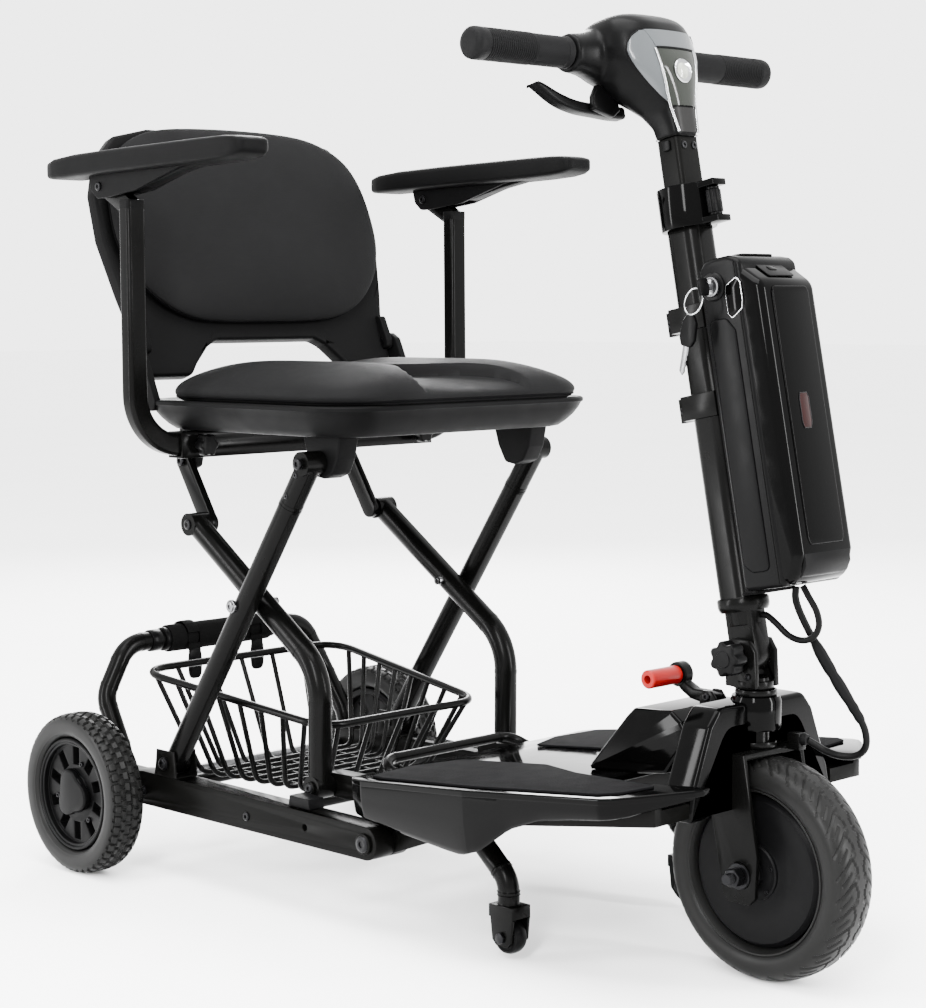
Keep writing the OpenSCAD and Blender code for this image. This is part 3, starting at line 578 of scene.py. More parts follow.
def make_cables():
    path = smooth_route(HARNESS)
    verts, faces = skin(sweep_rings(path, 3.5, 16, False))
    harness = add_mesh("harness_lead", verts, faces, CABLE, 60)
    settle(harness, "tiller", "cable_black", "harness_cable")
    tuple(path[0])
    path_length(path)
    [tuple(p) for p in path]

    path = smooth_route(MOTOR_ROUTE)
    verts, faces = skin(sweep_rings(path, 3.9, 16, False))
    motor = add_mesh("motor_lead", verts, faces, CABLE, 60)
    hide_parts("motor_cable")
    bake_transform(motor)
    plug_path = path[15:32]
    taper = [3.9, 4.6, 5.6, 6.2, 6.3, 6.3, 6.3, 5.4, 6.2, 6.3, 6.1, 5.7, 5.2, 5.6, 4.9, 5.2, 4.4]
    verts, faces = skin(sweep_rings(plug_path, lambda t: taper[round(t * 16)], 18, False))
    plug = add_mesh("motor_plug", verts, faces, SOFT_RUBBER, 60)
    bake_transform(plug)
    tuple(path[0])
    path_length(path)
    [tuple(p) for p in path]
    gland = lathe("motor_gland", [(0.01, 0), (6.4, 0), (6.8, 1.2), (6.2, 4.6), (5.0, 7.2), (0.01, 7.2)],
                  (906.6, 27, 251.6), SOFT_RUBBER, 40, "x")
    settle(gland, "steering", "cable_black")


make_cables()

# ---------------------------------------------------------------- wheels


def section(r_in, r_out, width, power, count):
    """The cross-section of a tyre: points (radius, distance along the axle) and how far each is on the tread."""
    mid, half = (r_in + r_out) / 2, (r_out - r_in) / 2
    out = []
    for k in range(count):
        a = 2 * math.pi * k / count
        s, c = math.sin(a), math.cos(a)
        out.append((mid + half * math.copysign(abs(s) ** (2 / power), s),
                    width / 2 * math.copysign(abs(c) ** (2 / power), c), s))
    return out


def make_tyre(name, centre, r_in, r_out, width, power, relief, steps, count, body, node):
    profile = section(r_in, r_out, width, power, count)
    rings = []
    for i in range(steps):
        u = i / steps
        a = 2 * math.pi * u
        row = []
        for r, t, s in profile:
            r2 = r - relief(u, t, s)
            row.append(P(centre[0] + r2 * math.cos(a), centre[1] + t, centre[2] + r2 * math.sin(a)))
        rings.append(row)
    verts, faces = skin(rings, closed=True)
    tyre = add_mesh(name, verts, faces, TYRE, 30)
    return settle(tyre, body, "tyre_rubber", node)


def block_relief(u, t, s):
    """Rows of small square blocks across the rear tyre."""
    if s < 0.42:
        return 0.0
    row_w = 8.2
    row = math.floor(t / row_w + 0.5)
    across = abs(t / row_w + 0.5 - math.floor(t / row_w + 0.5) - 0.5)
    along = (u * 46 + (0.5 if row % 2 else 0.0)) % 1.0
    fade = min(1.0, (s - 0.42) / 0.12)
    return 3.0 * fade if across > 0.40 or along < 0.30 else 0.0


def road_relief(u, t, s):
    """Curved road sipes on each shoulder of the front tyre and two wandering rain grooves."""
    if s < 0.1:
        return 0.0
    depth = 0.0
    side = 1 if t > 0 else -1
    reach = abs(t)
    n = 30
    bow = 0.55 * (reach / 30) ** 1.6 + (0.5 if side > 0 else 0.0)
    line = abs((u * n + bow * 2.0) % 1.0 - 0.5)
    if 5 < reach < 29 and line < 0.075:
        depth = 1.5
    half = abs((u * n + bow * 2.0 + 0.5) % 1.0 - 0.5)
    if 13 < reach < 25 and half < 0.06:
        depth = 1.2
    centre = 7.5 + 1.8 * math.sin(2 * math.pi * u * n)
    if abs(reach - centre) < 0.9:
        depth = 1.6
    return depth * min(1.0, (s - 0.1) / 0.15)


def make_rear_wheel(side, tag):
    body = f"rear_wheel_{tag}"
    y_mid = side * 248
    make_tyre(f"tyre_rear_{tag}", (0, y_mid, 100), 69.6, 100, 47.6, 3.2, block_relief, 460, 88, body,
              f"rear_tyre_{tag}")
    for k, r in enumerate((76.5, 83.5)):
        ring = lathe(f"tyre_bead_{tag}_{k}", superring(r, side * 21.6, 1.6, 1.1), (0, y_mid, 100), TYRE, 96)
        settle(ring, body, "tyre_rubber")
    soften(f"rear_rim_{tag}", SATIN_PLASTIC, body, 1.0, 3)
    lip = lathe(f"rim_lip_{tag}", superring(67.5, side * 18.4, 2.2, 1.4), (0, y_mid, 100), SATIN_PLASTIC, 96)
    settle(lip, body, "dark_plastic")
    cap = []
    for k in range(72):
        a = 2 * math.pi * k / 72
        r = 27.5 + 4.6 * math.cos(3 * a + 0.5)
        cap.append((r * math.cos(a), 100 + r * math.sin(a)))
    y0, y1 = (258.5, 269.5) if side > 0 else (-269.5, -258.5)
    hub = prism(f"rim_cap_{tag}", cap, y0, y1, "xz", SATIN_PLASTIC, 3.2, 4, angle=50)
    settle(hub, body, "dark_plastic")
    for k in range(3):
        a = 2 * math.pi * k / 3 + 1.25
        bolt(f"rim_screw_{tag}_{k}", (40 * math.cos(a), side * 259, 100 + 40 * math.sin(a)), side, 3.4, 2.6,
             body, DARK_STEEL)


def superring(r, t, half_r, half_t):
    """The profile of a rounded ring: centre radius, place along the axle, and half sizes."""
    count = 14
    return [(r + half_r * math.cos(2 * math.pi * k / count), t + half_t * math.sin(2 * math.pi * k / count))
            for k in range(count)]


def make_front_wheel():
    c = (WHEELBASE, 0, 117)
    make_tyre("tyre_front", c, 79.6, 117, 62.6, 2.5, road_relief, 480, 112, "front_wheel", "front_tyre")
    half = [(6.1, 36.5), (13, 36.5), (14.5, 35), (14.5, 30), (22, 30), (24, 29), (28.5, 29), (30, 27.5),
            (30, 24.5), (33, 23.4), (54, 24.6), (70, 25.4), (75, 24.6), (77.4, 22), (79.8, 20)]
    profile = half + [(r, -t) for r, t in reversed(half)]
    hub = lathe("motor_body", profile, c, MOTOR, 128, sharp=28)
    settle(hub, "front_wheel", "motor_aluminium", "motor_hub")
    for side in (LEFT, RIGHT):
        for k in range(6):
            a = math.pi * k / 3 + 0.3
            bolt(f"motor_screw_{side + 1}_{k}", (c[0] + 25.5 * math.cos(a), side * 28.9, c[2] + 25.5 * math.sin(a)),
                 side, 2.2, 1.6, "front_wheel", DARK_STEEL)
    for k, r in enumerate((86, 92)):
        for side in (LEFT, RIGHT):
            ring = lathe(f"front_bead_{k}_{side + 1}", superring(r, side * (28.2 + 1.1 * k), 1.2, 0.7), c, TYRE, 112)
            settle(ring, "front_wheel", "tyre_rubber")


make_rear_wheel(LEFT, "left")
make_rear_wheel(RIGHT, "right")
make_front_wheel()


def make_front_axle():
    c = (WHEELBASE, 0, 117)
    profile = [(0.01, -72)] + [(5.9 if k % 2 else 5.5, -72 + k) for k in range(23)]
    profile += [(6, -49), (6, 49)] + [(5.9 if k % 2 else 5.5, 50 + k) for k in range(23)] + [(0.01, 72)]
    axle = lathe("wheel_spindle", profile, c, DARK_STEEL, 40, closed=False)
    settle(axle, "steering", "zinc_steel", "front_axle")
    for side in (LEFT, RIGHT):
        y = sorted((side * 53, side * 64))
        nut = prism(f"spindle_nut_{side + 1}", [(c[0] + a, c[2] + b) for a, b in hexagon(10.4, 12)], *y, "xz",
                    DARK_STEEL, 0.9)
        settle(nut, "steering", "zinc_steel")
        washer = lathe(f"spindle_washer_{side + 1}",
                       [(6.1, side * 50.2), (13.6, side * 50.2), (14, side * 51.6), (13.4, side * 53),
                        (6.1, side * 53)],
                       c, DARK_STEEL, 48)
        settle(washer, "steering", "zinc_steel")


make_front_axle()

# ---------------------------------------------------------------- hard-edged pieces carried over

SOFTENED = [
    ("deck_frame", PAINT_DARK, "deck", 0.8), ("lift_bar", PAINT, "deck", 0),
    ("caster_stems", PAINT, "deck", 0.8),
    ("rear_frame", PAINT_DARK, "rear", 1.0), ("rear_axle", ZINC, "rear", 0.6),
    ("carry_hoop", PAINT, "rear", 0), ("rail_buffers", SOFT_RUBBER, "rear", 1.0),
    ("pivot_bolts", DARK_STEEL, "rear", 0.5),
    ("outer_tube_left", PAINT, "outer_arms", 0), ("outer_tube_right", PAINT, "outer_arms", 0),
    ("crossing_bolts", ZINC, "outer_arms", 0.4),
    ("inner_tube_left", PAINT, "inner_arms", 0), ("inner_tube_right", PAINT, "inner_arms", 0),
    ("link_left", PAINT, "links", 1.2), ("link_right", PAINT, "links", 1.2),
    ("armrest_receiver", PAINT, "seat", 1.2),
    ("arm_tube_left", PAINT, "arm_left", 0.6), ("arm_tube_right", PAINT, "arm_right", 0.6),
    ("fork", PAINT, "steering", 1.0), ("fold_lever", PAINT, "latch", 1.5),
    ("tiller_tube", PAINT, "tiller", 0.8), ("battery_dock", PLASTIC, "tiller", 1.2),
    ("clamp_collar", GLOSS, "tiller", 0.9), ("upper_tube", PAINT_DARK, "mast", 0.5),
]
for node, mat, body, width in SOFTENED:
    soften(node, mat, body, width)

# ---------------------------------------------------------------- basket and hoop

RIM_BACK = (4.0, 164.0, 243.0)
RIM_FRONT = (322.0, 127.0, 207.0)
FLOOR_Z = 116.0


def rim_at(x, drop=0.0):
    """Half width and height of the basket's wall where the rim is at x, drop millimetres further down."""
    t = (x - RIM_BACK[0]) / (RIM_FRONT[0] - RIM_BACK[0])
    half = RIM_BACK[1] + t * (RIM_FRONT[1] - RIM_BACK[1])
    z = RIM_BACK[2] + t * (RIM_FRONT[2] - RIM_BACK[2]) - drop
    return half - drop * math.tan(math.radians(16)), z


def loop_at(drop, name, r):
    back_x = RIM_BACK[0] + drop * 52 / 130
    front_x = RIM_FRONT[0] - drop * 46 / 92
    (yb, zb), (yf, zf) = rim_at(back_x, drop), rim_at(front_x, drop)
    loop = tube(name, [(back_x, -yb, zb), (front_x, -yf, zf), (front_x, yf, zf), (back_x, yb, zb)],
                r, PAINT, 14, True, 42, 10)
    settle(loop, "rear", "satin_frame")
    return loop


def make_basket():
    rim = loop_at(0, "basket_rim", 4.8)
    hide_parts("basket")
    wires = 8
    for k in range(wires):
        t = (k + 0.9) / (wires + 0.8)
        top_x = RIM_BACK[0] + t * (RIM_FRONT[0] - RIM_BACK[0])
        low_x = 60 + t * 208
        half, z = rim_at(top_x, 2)
        low_half = half - (z - FLOOR_Z) * math.tan(math.radians(16))
        wire = tube(f"basket_wire_{k}",
                    [(top_x, -half, z), (low_x, -low_half, FLOOR_Z), (low_x, low_half, FLOOR_Z), (top_x, half, z)],
                    3.3, PAINT, 12, False, 20, 7)
        settle(wire, "rear", "satin_frame")
    spread = 1.3  # how much further apart the runners stand at the rim than on the floor
    for k, y in enumerate((-80, -40, 0, 40, 80)):
        wire = tube(f"basket_runner_{k}",
                    [(RIM_BACK[0], y * spread, RIM_BACK[2] - 2), (60, y, FLOOR_Z - 1.5), (270, y, FLOOR_Z - 1.5),
                     (RIM_FRONT[0] - 1, y * spread, RIM_FRONT[2] - 2)], 3.2, PAINT, 12, False, 20, 7)
        settle(wire, "rear", "satin_frame")


def make_hoop_details():
    pad = [(12.1, -84), (16.6, -84), (17.8, -82), (18.0, -40), (17.7, 0), (18.0, 40), (17.8, 82), (16.6, 84),
           (12.1, 84)]
    sleeve = lathe("hoop_sleeve", pad, (-48, 0, 270), FOAM, 56)
    settle(sleeve, "rear", "foam_pad", "hoop_pad")
    for side in (LEFT, RIGHT):
        for k, (y, w, r) in enumerate(((88, 7, 15.5), (104, 16, 14.2))):
            cuff = lathe(f"hoop_cuff_{side + 1}_{k}",
                         [(12.1, side * (y - w / 2)), (r - 0.8, side * (y - w / 2)), (r, side * (y - w / 2 + 1.2)),
                          (r, side * (y + w / 2 - 1.2)), (r - 0.8, side * (y + w / 2)), (12.1, side * (y + w / 2))],
                         (-48, 0, 270), SATIN_PLASTIC, 48)
            settle(cuff, "rear", "dark_plastic")
    for k, y in enumerate((-52, 52)):
        path = []
        for a in range(-160, 1, 20):
            path.append((-48 + 19.2 * math.cos(math.radians(a + 180)), 270 + 19.2 * math.sin(math.radians(a + 180))))
        path += [(-28.8, 262), (-28.6, 248), (-28.4, 232)]
        outline = [(x, z) for x, z in path] + [(x + 1.8, z) for x, z in reversed(path[-3:])]
        outline += [(-48 + 21 * math.cos(math.radians(a + 180)), 270 + 21 * math.sin(math.radians(a + 180)))
                    for a in range(0, -161, -20)]
        strap = prism(f"basket_strap_{k}", outline, y - 9, y + 9, "xz", WEBBING, 0.5, 2)
        settle(strap, "rear", "strap_web")
        if k == 0:
            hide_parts("basket_straps")
        tab = prism(f"strap_tab_{k}", superplate(y, 236, 10.5, 20), -29.5, -25.5, "yz", SATIN_PLASTIC, 1.2, 3, angle=50)
        settle(tab, "rear", "strap_web")


def superplate(y, z, half_y, half_z):
    power, count = 3.5, 40
    return [(y + a, z + b) for a, b in superellipse(half_y, half_z, power, count)]


make_basket()
make_hoop_details()

# ---------------------------------------------------------------- foot deck

DECK_REAR = (443.0, 176.0)
DECK_SLOPE = math.atan2(223 - 176, 905 - 443)


def deck_z(x, below=0.0):
    return DECK_REAR[1] + (x - DECK_REAR[0]) * math.tan(DECK_SLOPE) - below / math.cos(DECK_SLOPE)


def deck_point(x, y, z):
    """A point of the sloping deck: z is measured from its top face."""
    return P(x, y, deck_z(x) + z)


DECK_HALF = [(443, 190), (452, 198), (474, 205), (650, 218), (838, 212.5), (850, 207), (864, 192), (902, 140),
             (906, 130), (906, 118), (760, 118), (752, 110)]
SKIRT_LOW = [(443, 135), (520, 130), (612, 124), (636, 123.5), (664, 132), (712, 164), (756, 180), (800, 188),
             (860, 196), (906, 214)]


def skirt_low(x):
    xs, zs = zip(*SKIRT_LOW)
    return float(np.interp(x, xs, zs))


def dense(points, step):
    out = []
    for a, b in zip(points, points[1:]):
        a, b = Vector(a), Vector(b)
        n = max(1, int((b - a).length / step))
        out += [a.lerp(b, k / n) for k in range(n)]
    return out + [Vector(points[-1])]


def make_deck():
    outline = DECK_HALF + [(x, -y) for x, y in reversed(DECK_HALF)]
    board = prism("deck_board", outline, -7.6, 0, "xy", GLOSS, 1.8, 4, deck_point, corner=6, angle=50)
    settle(board, "deck", "gloss_black", "footboard")
    for side, tag in ((LEFT, "left"), (RIGHT, "right")):
        edge = fillet([(x, y, 0) for x, y in DECK_HALF[1:8]], 16, 6, False)
        run = dense([tuple(p)[:2] for p in edge], 9)
        rings = []
        for i, p in enumerate(run):
            a, b = run[max(i - 1, 0)], run[min(i + 1, len(run) - 1)]
            d = (b - a).normalized()
            inward = Vector((d.y, -d.x))
            if inward.y > 0:
                inward = -inward
            top = deck_z(p.x) - 1.2
            low = min(top - 9, skirt_low(p.x))
            fall = top - low
            ring = []
            for depth, inset in ((0.0, 1.2), (0.04, 0.2), (0.5, 0.0), (0.9, 0.8), (0.97, 2.0), (1.0, 3.6),
                                 (0.985, 5.0), (0.9, 5.2), (0.5, 4.6), (0.04, 4.4), (0.0, 3.6)):
                bulge = inset + (0.10 * fall * depth ** 2.0)
                q = p + inward * bulge
                ring.append(P(q.x, side * q.y, top - fall * depth))
            rings.append(ring)
        verts, faces = skin(rings)
        skirt = add_mesh(f"deck_skirt_{tag}", verts, faces, GLOSS, 32)
        settle(skirt, "deck", "gloss_black")
        pad = [(488, 60), (462, 120), (472, 186), (500, 194), (650, 205), (826, 200), (844, 186), (852, 140),
               (700, 96), (622, 60)]
        mat = prism(f"deck_pad_{tag}", [(x, side * y) for x, y in pad], 0.1, 2.6, "xy", DECK_MAT, 0.8, 3,
                    deck_point, corner=9, angle=50)
        settle(mat, "deck", "deck_grip")
        if side == LEFT:
            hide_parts("grip_pads")
        for k, (x, y) in enumerate(((560, 176), (700, 186), (806, 190))):
            bolt(f"deck_screw_{tag}_{k}", (x, side * y, deck_z(x, 8) + 0.2), -1, 5, 4, "deck", DARK_STEEL, axis="z")
    rear_lip = prism("deck_rear_lip", [(-190, 0), (190, 0), (186, -18), (150, -24), (-150, -24), (-186, -18)],
                     444, 448, "yz", GLOSS, 1.2, 3, lambda x, y, z: P(x, y, 174 + z), corner=6, angle=50)
    settle(rear_lip, "deck", "gloss_black")


def make_centre_cover():
    side_view = [(684, 201), (738, 266), (748, 275.5), (800, 278.5), (814, 269), (819, 262), (819, 244), (808, 230),
                 (796, 212), (760, 207)]
    half, taper = 64, 6  # half its width, and how much of that it loses by its top
    pts = fillet([(x, z, 0) for x, z in side_view], 5, 3)
    verts = []
    for y in (-half, half):
        for p in pts:
            k = 1 - taper / half * max(0.0, (p.y - 205) / 74)
            verts.append(P(p.x, y * k, p.y))
    n = len(pts)
    faces = [list(range(n)), list(range(n, 2 * n))]
    faces += [[i, (i + 1) % n, n + (i + 1) % n, n + i] for i in range(n)]
    cover = add_mesh("front_cover", verts, faces, GLOSS)
    bevel(cover, 4.0, 5, 45)
    settle(cover, "deck", "gloss_black", "centre_cover")
    for side in (LEFT, RIGHT):
        y = sorted((side * 6.4, side * 9.4))
        lug = prism(f"latch_lug_{side + 1}", [(798, 270), (822, 262), (820, 288), (814, 295), (803, 295), (798, 288)],
                    *y, "xz", PAINT, 0.8, 2, corner=4, angle=50)
        settle(lug, "deck", "gloss_black")
        bolt(f"latch_pin_{side + 1}", (808, side * 9.4, 288), side, 4.6, 2.4, "deck", DARK_STEEL)


def make_front_arch():
    outline = [(-117, 180), (-117, 190), (-113, 208), (-86, 274), (-70, 292), (70, 292), (86, 274), (113, 208),
               (117, 190), (117, 180), (84, 180), (84, 200), (63, 256), (54, 266), (-54, 266), (-63, 256),
               (-84, 200), (-84, 180)]
    arch = prism("head_arch", outline, 838, 876, "yz", GLOSS, 5.0, 5, corner=14, angle=40)
    settle(arch, "deck", "satin_frame", "front_arch")
    boss = lathe("head_arch_boss", [(20.2, 262), (26, 262), (27, 264), (27, 292), (25, 297), (20.2, 297)], (867, 0, 0),
                 GLOSS, 64, "z")
    settle(boss, "deck", "satin_frame")


make_deck()
make_centre_cover()
make_front_arch()


def make_casters():
    for side, tag in ((LEFT, "left"), (RIGHT, "right")):
        profile = [(4.1, -9), (11, -9), (12, -7.6), (13.5, -7.6), (15, -8.8), (17.4, -7.6), (18.7, -4.6), (19, 0)]
        profile += [(r, -t) for r, t in reversed(profile[:-1])]
        wheel = lathe(f"roller_{tag}", profile, (650, side * 147, 27), SATIN_PLASTIC, 72, sharp=30)
        settle(wheel, f"caster_wheel_{tag}", "dark_plastic", f"caster_{tag}")
        for k, y in enumerate((-14.2, 14.2)):
            sign = 1 if y > 0 else -1
            nut = prism(f"roller_nut_{tag}_{k}", [(650 + a, 27 + b) for a, b in hexagon(6.5, 20)],
                        *sorted((side * 147 + y, side * 147 + y + sign * 3.2)), "xz", DARK_STEEL, 0.6, 2)
            settle(nut, "deck", "zinc_steel")


make_casters()

# ---------------------------------------------------------------- bolts of the fold


def make_fold_details():
    for side, tag in ((LEFT, "left"), (RIGHT, "right")):
        bolt(f"fold_bolt_{tag}", (476, side * 204.8, 107), side, 9.5, 2.0, "deck", DARK_STEEL)
        bolt(f"outer_low_bolt_{tag}", (106, side * 204.6, 144), side, 6.5, 2.4, "rear", DARK_STEEL)
        bolt(f"outer_top_bolt_{tag}", (369, side * 201.9, 525), side, 7, 2.6, "seat", DARK_STEEL)
        bolt(f"crossing_bolt_{tag}", (242, side * 201.8, 351), side, 6.5, 2.6, "outer_arms", ZINC)
        bolt(f"inner_end_bolt_{tag}", (115, side * 166.6, 437), side, 6.5, 2.6, "inner_arms", DARK_STEEL)
        bolt(f"inner_stub_{tag}", (242, side * 139.4, 351), -side, 5.5, 7.5, "inner_arms", ZINC)
        for k, share in enumerate((0.862, 0.872)):
            x, z = 106 + 263 * share, 144 + 381 * share
            ring_path = [(x, side * 184, z), (x + 263 * 0.008, side * 184, z + 381 * 0.008)]
            ring = tube(f"outer_seam_{tag}_{k}", ring_path, 14.5 if k == 0 else 14.3, PAINT, 40)
            settle(ring, "outer_arms", "satin_frame")
        for k, share in enumerate((0.90, 0.965)):
            x, z = 106 + 263 * share, 144 + 381 * share
            bolt(f"outer_rivet_{tag}_{k}", (x, side * 197.4, z), side, 3.4, 1.6, "outer_arms", DARK_STEEL)
        bolt(f"inner_low_bolt_{tag}", (344, side * 169.8, 144), side, 6, 2.0, "deck", DARK_STEEL)
        bolt(f"link_bolt_{tag}", (66, side * 139.9, 512), side, 6.5, 2.6, "seat", DARK_STEEL)
        bolt(f"axle_cap_{tag}", (0, side * 201, 100), side, 11, 4, "rear", DARK_STEEL)
    for side in (LEFT, RIGHT):
        for x in (62, 266):
            bolt(f"rail_bolt_{side + 1}_{x}", (x, side * 201, 104), side, 5.5, 2.4, "rear", DARK_STEEL)


make_fold_details()

# ---------------------------------------------------------------- seat


def round_rect(half_x, half_y, r, per=14, run=10):
    """A rectangle with round corners, starting on its +X side."""
    out = []
    for k, (sx, sy) in enumerate(((1, 1), (-1, 1), (-1, -1), (1, -1))):
        cx, cy = sx * (half_x - r), sy * (half_y - r)
        arc = [(cx + r * math.cos(a), cy + r * math.sin(a))
               for a in (math.pi / 2 * (k + i / per) for i in range(per + 1))]
        if out:
            a, b = Vector(out[-1]), Vector(arc[0])
            out += [tuple(a.lerp(b, i / run)) for i in range(1, run)]
        out += arc
    a, b = Vector(out[-1]), Vector(out[0])
    return out + [tuple(a.lerp(b, i / run)) for i in range(1, run)]


def make_seat_base():
    cx = 262
    rings = []
    stations = [(555.3, 0.86, 0.86), (556.5, 0.885, 0.885), (562, 0.915, 0.92), (570, 0.95, 0.955),
                (578, 0.975, 0.98), (584.5, 0.99, 0.992), (586, 1.0, 1.0), (589.6, 1.0, 1.0), (591.2, 0.992, 0.992),
                (591.8, 0.975, 0.975), (590.2, 0.955, 0.955), (589.6, 0.90, 0.90), (589.6, 0.4, 0.4)]
    for z, kx, ky in stations:
        rings.append([P(cx + a * kx, b * ky, z) for a, b in round_rect(195, 215, 62)])
    verts, faces = skin(rings)
    base = add_mesh("seat_shell", verts, faces, PLASTIC, 40)
    settle(base, "seat", "dark_plastic", "seat_base")
    for side, tag in ((LEFT, "left"), (RIGHT, "right")):
        y = sorted((side * 140, side * 169))
        front = prism(f"seat_bracket_{tag}",
                      [(336, 562), (406, 562), (399, 530), (389, 512), (374, 506.5), (358, 509), (346, 530)],
                      *y, "xz", PLASTIC, 3.0, 4, corner=8, angle=50)
        settle(front, "seat", "dark_plastic")
        y = sorted((side * 116, side * 127.6))
        lug = prism(f"seat_lug_{tag}", [(44, 570), (98, 570), (80, 505), (66, 499), (54, 505)], *y, "xz", PLASTIC,
                    1.8, 3, corner=6, angle=50)
        settle(lug, "seat", "dark_plastic")
        y = sorted((side * 205.6, side * 215))
        ear = prism(f"seat_ear_{tag}", [(88, 578), (60, 586), (54, 650), (60, 662), (72, 668), (86, 660), (118, 590),
                                        (114, 578)], *y, "xz", PLASTIC, 1.6, 3, corner=7, angle=50)
        settle(ear, "seat", "dark_plastic")
        pins = [((369, 525), 168, 202, 5), ((66, 512), 127, 140, 5), ((72, 655), 192, 209, 5)]
        for k, ((x, z), a, b, r) in enumerate(pins):
            pin = tube(f"seat_pin_{tag}_{k}", [(x, side * a, z), (x, side * b, z)], r, DARK_STEEL, 28)
            settle(pin, "seat", "zinc_steel")
        for k, (x, z) in enumerate(((72, 655), (76, 606))):
            bolt(f"ear_bolt_{tag}_{k}", (x, side * 214.8, z), side, 5, 2.2, "seat", DARK_STEEL)


def smoothstep(a, b, v):
    t = min(1.0, max(0.0, (v - a) / (b - a)))
    return t * t * (3 - 2 * t)


def cushion_height(x, y, rho):
    """Height of the seat cushion's top above its flat base: two thigh pads and a sunken wedge between them."""
    edge = max(0.0, 1 - rho ** 4.0) ** 0.5
    lobes = 31 + 8 * math.exp(-((abs(y) - 108) / 62) ** 2) - 4 * smoothstep(360, 456, x)
    wedge_y = 10 + 74 * smoothstep(270, 450, x)
    inside = 1 - smoothstep(wedge_y - 4, wedge_y + 3, abs(y))
    front = smoothstep(256, 300, x)
    h = 10 + lobes * edge - inside * front * 15 * edge
    seam = math.exp(-((abs(y) - wedge_y + 3) / 2.6) ** 2) * front
    centre = math.exp(-(y / 3.0) ** 2) * (1 - front)
    return h - (3.6 * seam + 2.6 * centre) * edge


def make_seat_cushion():
    cx = 277
    rim = round_rect(180, 203, 66, 40, 56)
    rings = []
    for z, k in ((590.6, 0.5), (590.6, 0.93), (590.9, 0.96), (593, 0.98), (597, 0.992)):
        rings.append([P(cx + a * k, b * k, z) for a, b in rim])
    rows = 110
    for i in range(rows + 1):
        rho = max(0.01, math.cos(i / rows * math.pi / 2) ** 0.9)
        ring = []
        for a, b in rim:
            x, y = cx + a * rho * 0.998, b * rho * 0.998
            ring.append(P(x, y, 590.6 + cushion_height(x, y, rho)))
        rings.append(ring)
    verts, faces = skin(rings)
    cushion = add_mesh("seat_pad", verts, faces, FABRIC, 70)
    settle(cushion, "seat", "upholstery", "seat_cushion")
    piping = tube("seat_piping", [(cx + a * 0.988, b * 0.988, 596) for a, b in rim[::4]], 1.5, SEAM, 10, True)
    settle(piping, "seat", "upholstery")


make_seat_base()
make_seat_cushion()

# ---------------------------------------------------------------- backrest

BACK_FRAME = [
    (-203, -38), (-130, -38), (-118, -22), (-96, 0), (-80, 8), (80, 8), (96, 0), (118, -22), (130, -38), (203, -38),
    (203, 30), (212, 70), (224, 140), (222, 200), (204, 248), (176, 276), (120, 289), (-120, 289), (-176, 276),
    (-204, 248), (-222, 200), (-224, 140), (-212, 70), (-203, 30)]
BACK_PAD = [
    (0, 28), (76, 29), (122, 35), (162, 55), (193, 88), (209, 128), (211, 170), (204, 214), (186, 248), (152, 271),
    (100, 284), (0, 288), (-100, 284), (-152, 271), (-186, 248), (-204, 214), (-211, 170), (-209, 128), (-193, 88),
    (-162, 55), (-122, 35), (-76, 29)]


def back_bow(y):
    """How far the backrest curves forward at a distance from its middle."""
    return 0.00005 * y * y


def make_back_frame():
    outline = [tuple(p)[:2] for p in fillet([(a, b, 0) for a, b in BACK_FRAME], 16, 5)]
    rear_face, thick = -23.6, 21.4
    # the shell is cut into a grid so that it can curve round the sitter
    bm = bmesh.new()
    bm.faces.new([bm.verts.new((y, z, 0)) for y, z in outline])
    for y in range(-210, 211, 14):
        geom = list(bm.verts) + list(bm.edges) + list(bm.faces)
        bmesh.ops.bisect_plane(bm, geom=geom, plane_co=(y, 0, 0), plane_no=(1, 0, 0))
    for z in range(-20, 280, 20):
        geom = list(bm.verts) + list(bm.edges) + list(bm.faces)
        bmesh.ops.bisect_plane(bm, geom=geom, plane_co=(0, z, 0), plane_no=(0, 1, 0))
    extruded = bmesh.ops.extrude_face_region(bm, geom=list(bm.faces))
    for v in [g for g in extruded["geom"] if isinstance(g, bmesh.types.BMVert)]:
        v.co.z = 1
    mesh = bpy.data.meshes.new("back_shell")
    bmesh.ops.recalc_face_normals(bm, faces=bm.faces)
    for v in bm.verts:
        y, z, d = v.co.x, v.co.y, v.co.z
        v.co = B(rear_face + thick * d + back_bow(y), y, z)
    bmesh.ops.recalc_face_normals(bm, faces=bm.faces)
    bm.to_mesh(mesh)
    bm.free()
    shell = bpy.data.objects.new("back_shell", mesh)
    bpy.context.scene.collection.objects.link(shell)
    mesh.materials.append(PLASTIC)
    bevel(shell, 5.0, 4, 50, 40)
    settle(shell, "backrest", "dark_plastic", "back_frame")
    for side, tag in ((LEFT, "left"), (RIGHT, "right")):
        y = sorted((side * 192.6, side * 203.2))
        lug = prism(f"back_lug_{tag}", [(-13, -10), (9, -10), (12, 0), (8, 34), (-12, 40), (-16, 0)], *y, "xz", PLASTIC,
                    1.8, 3, B, corner=6, angle=50)
        settle(lug, "backrest", "dark_plastic")


